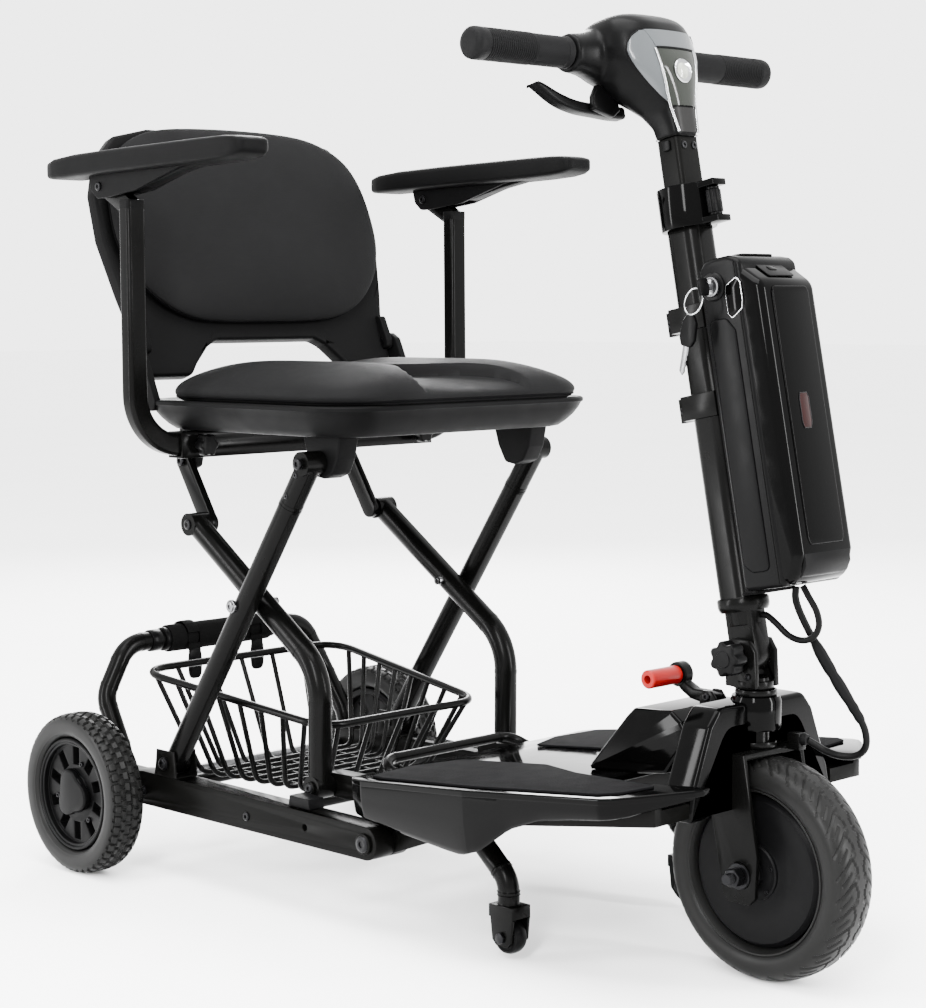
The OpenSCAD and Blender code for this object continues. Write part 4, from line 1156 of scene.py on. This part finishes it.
def make_back_cushion():
    rim = spline([(a, b, 0) for a, b in BACK_PAD], 8)
    cy, cz = 0.0, 160.0
    rings = []

    def ring_at(k, x):
        out = []
        for p in rim:
            y, z = cy + (p.x - cy) * k, cz + (p.y - cz) * k
            out.append(B(x + back_bow(y), y, z))
        return out

    for k, x in ((0.4, -1.2), (0.93, -1.2), (0.965, -0.6), (0.985, 2.0), (0.996, 6.0), (1.0, 11.0)):
        rings.append(ring_at(k, x))
    rows = 34
    for i in range(1, rows + 1):
        t = i / rows
        k = max(0.012, math.cos(t * math.pi / 2) ** 0.85)
        rise = 11 + 20 * (1 - k ** 2.6) ** 0.62
        rings.append(ring_at(k, rise))
    verts, faces = skin(rings)
    pad = add_mesh("back_pad", verts, faces, FABRIC, 70)
    settle(pad, "backrest", "upholstery", "back_cushion")
    share = 0.995
    line = [(4.4 + back_bow(p.x * share), p.x * share, cz + (p.y - cz) * share) for p in rim[::2]]
    piping = tube("back_piping", line, 1.5, SEAM, 10, True, place=B)
    settle(piping, "backrest", "upholstery")


make_back_frame()
make_back_cushion()

# ---------------------------------------------------------------- armrests


def make_armrest(side, tag):
    body = f"armrest_{tag}"
    stations = [(-4, 14, 863, 870), (-2, 19, 860, 875), (4, 24, 858, 879), (18, 27, 857, 882.5), (60, 28, 858, 886),
                (140, 28, 860, 888.5), (240, 28, 862, 890.5), (310, 28, 864, 891.8), (345, 27.5, 866, 892),
                (362, 25.5, 868.5, 891), (371, 22, 872, 889), (375, 17, 875, 886.5), (376, 12, 877, 885)]
    xs = [s[0] for s in stations]
    dense_x = sorted(set(xs + [40, 100, 190, 275, 330, 354, 368]))
    rings = []
    for x in dense_x:
        half, lo, hi = (float(np.interp(x, xs, [s[k] for s in stations])) for k in (1, 2, 3))
        mid, tall = (lo + hi) / 2, (hi - lo) / 2
        rings.append([P(x, side * 262 + a, mid + b) for a, b in superellipse(half, tall, 5.5, 52)])
    verts, faces = skin(rings)
    pad = add_mesh(f"arm_cap_{tag}", verts, faces, PLASTIC, 60)
    settle(pad, body, "dark_plastic", f"arm_pad_{tag}")
    for k, (a, b) in enumerate(((-14, -8), (8, 14))):
        y = sorted((side * 262 + a, side * 262 + b))
        cheek = prism(f"arm_cheek_{tag}_{k}",
                      [(74, 864), (318, 872), (250, 861), (170, 839), (112, 832.5), (92, 832), (80, 842)], *y, "xz",
                      PLASTIC, 1.4, 3, corner=8, angle=50)
        settle(cheek, body, "dark_plastic")
        sign = 1 if a > 0 else -1
        bolt(f"arm_bolt_{tag}_{k}", (97, side * 262 + (14 if a > 0 else -14), 846), sign, 5.5, 2.6, body, DARK_STEEL)
    spine = prism(f"arm_spine_{tag}", [(176, 862), (320, 870), (300, 866), (240, 856), (180, 842)], side * 262 - 8.5,
                  side * 262 + 8.5, "xz", PLASTIC, 1.0, 2)
    settle(spine, body, "dark_plastic")
    pin = tube(f"arm_pin_{tag}", [(97, side * 262 - 15, 846), (97, side * 262 + 15, 846)], 5, DARK_STEEL, 24)
    settle(pin, body, "zinc_steel")
    cap = prism(f"post_plug_{tag}", [(a + 143, b + side * 262) for a, b in superellipse(10.2, 13.2, 5, 36)], 818, 829,
                "xy", PLASTIC, 0.8, 2, angle=50)
    settle(cap, f"arm_{tag}", "dark_plastic")


make_armrest(LEFT, "left")
make_armrest(RIGHT, "right")

# ---------------------------------------------------------------- knobs


def star(r, depth, lobes):
    """A round knob's outline with shallow lobes cut into it."""
    count, out = 112, []
    for k in range(count):
        a = 2 * math.pi * k / count
        rr = r - depth * (0.5 - 0.5 * math.cos(lobes * a)) ** 1.3
        out.append((rr * math.cos(a), rr * math.sin(a)))
    return out


def make_knobs():
    outline = [(860 + a, 338 + b) for a, b in star(19, 3.6, 7)]
    knob = prism("fold_knob", outline, -46, -28, "xz", SATIN_PLASTIC, 2.6, 4, angle=50)
    settle(knob, "fold_clamp", "dark_plastic", "tiller_knob")
    neck = lathe("fold_knob_neck", [(5, 0), (9.5, 0), (10.5, -6), (9.8, -7.5), (5, -7.5)], (860, -21, 338),
                 SATIN_PLASTIC, 40)
    settle(neck, "fold_clamp", "dark_plastic")
    stud = tube("fold_knob_stud", [(860, -30, 338), (860, 22, 338)], 4.9, ZINC, 28)
    settle(stud, "fold_clamp", "zinc_steel")
    dish = lathe("fold_knob_cap", [(0.01, 0), (8, 0), (9, -0.8), (8.4, -1.6), (0.01, -1.8)], (860, -45.6, 338),
                 SATIN_PLASTIC, 40)
    settle(dish, "fold_clamp", "dark_plastic")
    for side, tag in ((LEFT, "left"), (RIGHT, "right")):
        outline = [(side * 178 + a, 538 + b) for a, b in star(14, 2.6, 6)]
        wing = prism(f"width_wing_{tag}", outline, 163.5, 176.5, "yz", SATIN_PLASTIC, 2.2, 4, angle=50)
        settle(wing, f"width_clamp_{tag}", "dark_plastic", f"width_knob_{tag}")
        stem = tube(f"width_stem_{tag}", [(154.6, side * 178, 538), (165, side * 178, 538)], 4, ZINC, 24)
        settle(stem, f"width_clamp_{tag}", "zinc_steel")


def make_roller():
    outline = []
    for k in range(120):
        a = 2 * math.pi * k / 120
        r = 7.6 + 0.8 * math.copysign(abs(math.cos(6 * a)) ** 0.5, math.cos(6 * a))
        outline.append((38 + r * math.cos(a), r * math.sin(a)))
    roller = prism("clamp_barrel", outline, 461.5, 485.5, "xy", SATIN_PLASTIC, 0.7, 2, T, angle=60)
    settle(roller, "height_clamp", "dark_plastic", "clamp_roller")
    for k, (lo, hi) in enumerate(((458.4, 461.6), (485.4, 488.6))):
        flange = lathe(f"clamp_flange_{k}", [(3.1, lo), (6.4, lo), (7, lo + 0.8), (7, hi - 0.8), (6.4, hi), (3.1, hi)],
                       (38, 0, 0), SATIN_PLASTIC, 40, "z", T)
        settle(flange, "height_clamp", "dark_plastic")


make_knobs()
make_roller()

# ---------------------------------------------------------------- battery


def make_battery():
    back = prism("battery_case",
                 [(42, 66), (42, 398), (50, 405.5), (62, 407), (80, 406.5), (90, 403), (96, 398), (96, 66)],
                 -48, 48, "xz", SATIN_PLASTIC, 5.5, 5, T, angle=30)
    settle(back, "battery", "dark_plastic", "battery_pack")
    front = prism("battery_front",
                  [(72, 67.5), (72, 396), (90, 396.5), (117, 372), (117.6, 96), (110, 76), (102, 67.5)],
                  -46.6, 46.6, "xz", GLOSS, 9.5, 6, T, angle=28)
    settle(front, "battery", "gloss_black", "battery_shell")
    seam = prism("battery_seam", [(88, 70), (88, 398.5), (89.4, 398.5), (89.4, 70)], -48.5, 48.5, "xz", GLOSS, 0.3, 2,
                 T)
    settle(seam, "battery", "gloss_black")
    panel = prism("battery_panel", [(-27, 104), (27, 104), (30, 112), (30, 362), (27, 368), (-27, 368), (-30, 362),
                                    (-30, 112)], 116.4, 118.9, "yz", GLOSS, 1.6, 4, T, corner=5, angle=40)
    settle(panel, "battery", "gloss_black")
    window = prism("battery_window", [(-10, 222), (1, 222), (3, 228), (3, 252), (1, 258), (-10, 258), (-12, 252),
                                      (-12, 228)], 118.5, 119.6, "yz", WINDOW, 0.5, 2, T, corner=2)
    settle(window, "battery", "gloss_black")
    frame_ring = tube("battery_window_trim", [(119.4, -10, 222), (119.4, 1, 222), (119.4, 3, 228), (119.4, 3, 252),
                                              (119.4, 1, 258), (119.4, -10, 258), (119.4, -12, 252),
                                              (119.4, -12, 228)], 0.5, DARK_STEEL, 8, True, place=T)
    settle(frame_ring, "battery", "gloss_black")
    bumper = prism("battery_foot", [(99, 70), (110, 74), (117, 84), (117.8, 97), (114, 97), (98, 76)], -38, 38, "xz",
                   SATIN_PLASTIC, 1.6, 3, T)
    settle(bumper, "battery", "dark_plastic")
    slope = math.atan2(372 - 396.5, 117 - 90)

    def top_place(a, y, d):
        """A point on the sloping top: a runs down the slope, d stands off it."""
        c, s = math.cos(slope), math.sin(slope)
        return T(92 + a * c - d * s, y, 396.2 + a * s + d * c)

    plate = prism("battery_top_plate", [(3, -21), (25, -21), (25, 21), (3, 21)], -0.6, 0.9, "xy", SATIN_PLASTIC, 0.6,
                  3, top_place, corner=3, angle=50)
    settle(plate, "battery", "dark_plastic")
    button = prism("battery_button", [(8, -9), (15, -9), (15, 3), (8, 3)], 0.8, 1.7, "xy", GLOSS, 0.4, 2, top_place,
                   corner=2, angle=50)
    settle(button, "battery", "gloss_black")
    carry = prism("battery_crown", [(52, -26), (78, -30), (84, -24), (84, 24), (78, 30), (52, 26)], 405.8, 408.2, "xy",
                  SATIN_PLASTIC, 1.0, 3, T, corner=6, angle=50)
    settle(carry, "battery", "dark_plastic")
    port = [(78, 342), (92, 350), (94, 358), (94, 376), (90, 382), (76, 376), (74, 370), (74, 348)]
    rim = tube("battery_port_trim", [(x, -48.1, z) for x, z in port], 0.7, CHROME, 10, True, 3, 4, place=T)
    settle(rim, "battery", "zinc_steel")
    glass = prism("battery_port", port, -48.9, -47.6, "xz", GLOSS, 0.4, 2, T, corner=3, angle=50)
    settle(glass, "battery", "gloss_black")
    for side in (LEFT, RIGHT):
        cheek = prism(f"battery_cheek_{side + 1}", [(48, 92), (58, 84), (80, 84), (80, 330), (70, 344), (48, 344)],
                      *sorted((side * 47.5, side * 49.2)), "xz", SATIN_PLASTIC, 1.4, 3, T, corner=8, angle=50)
        settle(cheek, "battery", "dark_plastic")


def key(name, at, turn, body):
    """A flat key: a moulded bow and a toothed blade, hanging from its hole."""
    c, s = math.cos(turn), math.sin(turn)

    def place(a, y, b):
        return T(at[0] + a * c - b * s, at[1] + y, at[2] + a * s + b * c)

    bow = prism(f"{name}_bow", [(-9, -5), (-10, -22), (-6, -30), (6, -30), (10, -22), (9, -5), (4, 3), (-4, 3)],
                -2.4, 2.4, "xz", SATIN_PLASTIC, 1.1, 3, place, corner=3, angle=50)
    settle(bow, body, "dark_plastic")
    teeth = [(-4, -29), (4, -29), (4, -38), (2.6, -40), (3.8, -43), (2.2, -46), (3.4, -49), (1.8, -52), (2.6, -56),
             (0, -60), (-4, -56)]
    blade = prism(f"{name}_blade", teeth, -0.9, 0.9, "xz", ZINC, 0.25, 2, place)
    settle(blade, body, "zinc_steel")


def make_lock():
    profile = [(0.01, 0), (10.2, 0), (10.6, -1.2), (10.0, -4.6), (8.6, -5.3), (7.6, -4.4), (0.01, -4.2)]
    barrel = lathe("lock_barrel", profile, (59, -48.2, 378), ZINC, 56, "y", T)
    settle(barrel, "battery_lock", "zinc_steel", "lock_key")
    bow = prism("lock_key_bow", [(-7, -9), (7, -9), (8.5, 0), (7, 9), (-7, 9), (-8.5, 0)], -1.6, 1.6, "xz",
                SATIN_PLASTIC, 0.9, 3, lambda a, y, b: T(59 + y, -64 + a, 378 + b), corner=3, angle=50)
    settle(bow, "battery_lock", "dark_plastic")
    shank = prism("lock_key_shank", [(-4, -3.4), (8, -3.4), (8, 3.4), (-4, 3.4)], -0.9, 0.9, "xz", ZINC, 0.2, 2,
                  lambda a, y, b: T(59 + y, -56 + a, 378 + b))
    settle(shank, "battery_lock", "zinc_steel")
    ring = []
    for k in range(40):
        a = 2 * math.pi * k / 40
        ring.append((44 + 13.5 * math.cos(a) * 0.9, -64 + 4.5 * math.sin(a), 366 + 13.5 * math.sin(a)))
    loop = tube("key_ring", ring, 0.9, CHROME, 10, True, place=T)
    settle(loop, "battery", "zinc_steel")
    key("spare_key", (40, -67, 350), math.radians(-22), "battery")
    collar = lathe("lock_boss", [(10.7, 0), (14.5, 0), (14.8, -1.2), (13.4, -2.6), (10.7, -2.6)], (59, -47.8, 378),
                   SATIN_PLASTIC, 56, "y", T)
    settle(collar, "battery", "dark_plastic")


make_battery()
make_lock()

# ---------------------------------------------------------------- steering head

HEAD = [  # height along the tiller, rear x, front x, half width, squareness
    (548, -17, 17, 19.5, 4.0), (562, -20, 17.5, 20.5, 3.6), (578, -33, 18, 24, 3.0), (592, -50, 18.5, 32, 2.7),
    (604, -66, 19, 42, 2.5), (618, -77, 19, 52, 2.5), (634, -84, 16.5, 59, 2.6), (650, -86, 12.5, 62, 2.6),
    (664, -86, 9, 60, 2.8), (674, -84, 4, 57, 3.0), (681, -80, -3, 53, 3.2), (686, -74, -11, 47, 3.2),
    (688.6, -66, -20, 39, 3.0)]


def head_at(z):
    zs = [h[0] for h in HEAD]
    return [float(np.interp(z, zs, [h[k] for h in HEAD])) for k in range(1, 5)]


def head_front(y, z, off=0.0):
    """The front of the head at a distance y from its middle, standing off by off."""
    back, front, half, power = head_at(z)
    mid, deep = (back + front) / 2, (front - back) / 2
    share = min(0.995, abs(y) / half)
    return mid + deep * (1 - share ** power) ** (1 / power) + off


def cone_rings(side):
    """Rings of the stub that flows out of the head towards one grip."""
    stations = [(8, 36), (30, 35), (44, 31.5), (58, 26.5), (70, 23), (82, 21.2), (93.2, 20.4)]
    rings = []
    for y, r in stations:
        rings.append([T(-55 + r * math.cos(a), side * y, 650 + r * math.sin(a))
                      for a in (2 * math.pi * k / 48 for k in range(48))])
    return rings


def make_head():
    zs = sorted(set([h[0] for h in HEAD] + list(range(552, 692, 5))))
    rings = []
    for z in zs:
        back, front, half, power = head_at(z)
        mid, deep = (back + front) / 2, (front - back) / 2
        rings.append([T(mid + a, b, z) for a, b in superellipse(deep, half, power, 72)])
    verts, faces = skin(rings)
    for side in (LEFT, RIGHT):
        more, extra = skin(cone_rings(side))
        faces += [[i + len(verts) for i in f] for f in extra]
        verts += more
    head = add_mesh("head_shell", verts, faces, SATIN_PLASTIC, 60)
    m = head.modifiers.new("weld", "REMESH")
    m.mode, m.voxel_size = "VOXEL", 0.0021
    m = head.modifiers.new("flow", "SMOOTH")
    m.factor, m.iterations = 0.5, 16
    apply_modifiers(head, 60)
    settle(head, "mast", "dark_plastic", "steering_head")


def head_patch(name, bounds, off, thick, mat, slot):
    """A patch that lies on the front of the head: bounds gives (height, left edge, right edge)."""
    cols, rows = 16, []
    for z, lo, hi in bounds:
        rows.append([(lo + (hi - lo) * k / cols, z) for k in range(cols + 1)])
    n, m = len(rows), cols + 1
    verts = [T(head_front(y, z, off), y, z) for row in rows for y, z in row]
    verts += [T(head_front(y, z, off - thick), y, z) for row in rows for y, z in row]
    faces = []
    for base in (0, n * m):
        for i in range(n - 1):
            for k in range(m - 1):
                a = base + i * m + k
                faces.append([a, a + 1, a + m + 1, a + m])
    border = list(range(m)) + [i * m + m - 1 for i in range(1, n)]
    border += [(n - 1) * m + k for k in range(m - 2, -1, -1)] + [i * m for i in range(n - 2, 0, -1)]
    for a, b in zip(border, border[1:] + border[:1]):
        faces.append([a, b, b + n * m, a + n * m])
    patch = add_mesh(name, verts, faces, mat, 45)
    return settle(patch, "mast", slot)


SHIELD = [(584, 22), (592, 27.5), (602, 35), (612, 42), (622, 48), (632, 52.5), (642, 54.5), (650, 53.5), (657, 49),
          (662, 42)]
LAMP = [(580, 19), (590, 21), (600, 22.8), (612, 25), (624, 27), (634, 28.6), (641, 29)]


def make_fascia():
    for side in (LEFT, RIGHT):
        inner = [float(np.interp(z, [a for a, _ in LAMP], [b for _, b in LAMP])) - 4 for z, _ in SHIELD]
        bounds = [(z, side * (w0 if z < 643 else 10), side * w) for (z, w), w0 in zip(SHIELD, inner)]
        patch = head_patch(f"fascia_{side + 1}", bounds, 1.3, 4, FASCIA, "lamp_clear")
        if side == LEFT:
            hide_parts("headlight")
        trim = [(head_front(w, z, 0.9), side * w, z) for z, w in SHIELD]
        edge = tube(f"fascia_trim_{side + 1}", trim, 1.0, SATIN_PLASTIC, 10, False, place=T)
        settle(edge, "mast", "dark_plastic")
    head_patch("fascia_top", [(643, -28, 28), (650, -30, 30), (657, -33, 33), (663, -36, 36)], 1.7, 4, FASCIA,
               "lamp_clear")
    head_patch("lamp_glass", [(z, -w, w) for z, w in LAMP], 2.0, 5, SMOKE, "lamp_clear")
    for side in (LEFT, RIGHT):
        line = [(552, 14), (566, 16.5)] + LAMP
        strip = [(head_front(w + 1, z, 2.0), side * (w + 1), z) for z, w in line]
        bar = tube(f"lamp_strip_{side + 1}", strip, 1.5, CHROME, 12, False, place=T)
        settle(bar, "mast", "lamp_clear")
    head_patch("neck_strip", [(552, -13, 13), (564, -15, 15), (578, -18, 18)], 1.2, 3, SOFT_GREY, "dark_plastic")
    hood = [(head_front(y, 642.4, 2.2), y, 642.4) for y in range(-28, 29, 4)]
    brow = tube("lamp_brow", hood, 1.3, SATIN_PLASTIC, 12, False, place=T)
    settle(brow, "mast", "dark_plastic")
    z0 = 617
    base = head_front(0, z0, 1.6)
    bezel = lathe("lamp_bezel", [(7.2, 0), (12.2, 0), (13, 1.0), (12.2, 2.0), (9.6, 1.2), (7.6, 0.4)], (base, 0, z0),
                  CHROME, 56, "x", T)
    settle(bezel, "mast", "lamp_clear")
    lens = lathe("lamp_bulb", [(0.01, 3.2), (3, 3.0), (6.2, 2.2), (8.8, 0.8), (9.2, -0.4), (0.01, -0.4)],
                 (base, 0, z0), LENS, 48, "x", T)
    settle(lens, "mast", "lamp_clear")


def make_head_details():
    z, proud = 549.4, 0.15
    back, front, half, power = head_at(z)
    mid, deep = (back + front) / 2, (front - back) / 2
    line = [(mid + a, b, z) for a, b in superellipse(deep + proud, half + proud, power, 72)]
    seam = tube("head_seam_549", line, 0.45, PAINT_DARK, 8, True, place=T)
    settle(seam, "mast", "dark_plastic")
    for k, y in enumerate((-8, 8)):
        bolt(f"mast_screw_{k}", (14.6, y, 539), 1, 4.2, 1.8, "mast", DARK_STEEL, place=T, axis="x")
    plug = prism("mast_plug", [(-4, 535), (4, 535), (5, 537), (5, 544), (4, 546), (-4, 546), (-5, 544), (-5, 537)],
                 -20.4, -17.6, "xz", SATIN_PLASTIC, 0.8, 3, T, corner=2, angle=50)
    settle(plug, "mast", "dark_plastic")


def make_grips():
    for side in (LEFT, RIGHT):
        profile = [(11.05, 94.6), (15.4, 94.6), (17.0, 95.6), (17.0, 99), (16.2, 100), (16.2, 103)]
        y = 103.0
        while y < 150:
            profile += [(16.0, y), (16.5, y + 1.2)]
            y += 2.4
        while y < 216:
            profile += [(15.7, y), (16.9, y + 0.7), (16.9, y + 1.6), (15.7, y + 2.3)]
            y += 3.0
        profile += [(16.3, y), (17.0, y + 1), (17.0, 228), (16.4, 231.6), (14.0, 234.4), (9.5, 235.8), (0.01, 236)]
        profile += [(0.01, 215), (11.05, 215)]
        grip = lathe(f"grip_{side + 1}", [(r, side * t) for r, t in profile], (-55, 0, 650), RUBBER, 72, "y", T, 50)
        settle(grip, "mast", "grip_rubber")
        if side == LEFT:
            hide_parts("handle_grips")
    bar = tube("handlebar_core", [(-55, -214, 650), (-55, 214, 650)], 11, DARK_STEEL, 32, place=T)
    settle(bar, "mast", "satin_frame")


def make_throttle():
    lower = [(-4, 586), (-24, 586), (-50, 588), (-75, 590), (-98, 595), (-114, 602), (-127, 610), (-137, 616)]
    upper = [(-139.6, 617), (-133, 619.5), (-124, 617.5), (-112, 612.5), (-98, 607.5), (-80, 603), (-60, 601),
             (-30, 600), (-4, 599)]
    outline = [tuple(p)[:2] for p in spline([(*p, 0) for p in lower], 4, False)]
    outline += [tuple(p)[:2] for p in spline([(*p, 0) for p in upper], 4, False)]
    lever = prism("throttle_hook", outline, -77, -61, "yz", SATIN_PLASTIC, 3.4, 4, T, angle=60)
    settle(lever, "throttle", "dark_plastic", "throttle_lever")
    bolt("throttle_pin", (-60.8, -55, 596), 1, 3, 1.2, "throttle", DARK_STEEL, place=T, axis="x")
    mount = prism("throttle_mount",
                  [(-64, 592), (-34, 584), (-22, 592), (-26, 606), (-40, 612), (-52, 620), (-62, 606)],
                  -60.4, -52, "yz", SATIN_PLASTIC, 2, 3, T, corner=4, angle=50)
    settle(mount, "mast", "dark_plastic")


make_head()
make_fascia()
make_head_details()
make_grips()
make_throttle()

# ---------------------------------------------------------------- latch, fork and tiller details


def make_latch():
    centre = (764, 0, 307)
    profile = [(4.6, -54), (8.8, -54), (10, -52.6), (10, -9), (9.4, -7), (8.4, -6.2), (0.01, -6.2), (0.01, -30),
               (4.6, -30)]
    handle = lathe("release_grip", profile, centre, RED, 48)
    settle(handle, "latch", "red_grip", "fold_handle")
    profile = [(7.0, -6.8), (12.2, -6.8), (13.4, -5.4), (13.4, 5.4), (12.2, 6.8), (7.0, 6.8)]
    eye = lathe("release_eye", profile, centre, PAINT, 48)
    settle(eye, "latch", "satin_frame")


def make_tiller_details():
    for k, z in enumerate((264, 357)):
        bolt(f"clip_bolt_{k}", (-40, 4.2, z), 1, 4.2, 2.2, "tiller", DARK_STEEL, place=T)
        bolt(f"clip_nut_{k}", (-40, -4.2, z), -1, 4.2, 2.2, "tiller", DARK_STEEL, place=T)
    collar = lathe("tiller_ferrule", [(17.4, 46), (24.5, 46), (26.6, 49), (27.4, 52), (27.4, 59), (26, 61), (17.4, 61)],
                   (0, 0, 0), PAINT, 56, "z", T)
    settle(collar, "tiller", "satin_frame")
    for side in (LEFT, RIGHT):
        bolt(f"knuckle_bolt_{side + 1}", (872, side * 20.2, 318), side, 3.6, 2.0, "steering", DARK_STEEL)
        lock_ring = lathe(f"head_tube_lip_{side + 1}",
                          [(20.05, 0), (21.6, 0), (22, 1), (22, 5), (21.6, 6), (20.05, 6)],
                          (867, 0, 243.5 if side < 0 else 297.5), PAINT, 56, "z")
        settle(lock_ring, "deck", "satin_frame")


make_latch()
make_tiller_details()

bpy.context.view_layer.update()
box = [[list(map(float, corner)) for corner in b] for b in (CAD_BOX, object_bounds())]
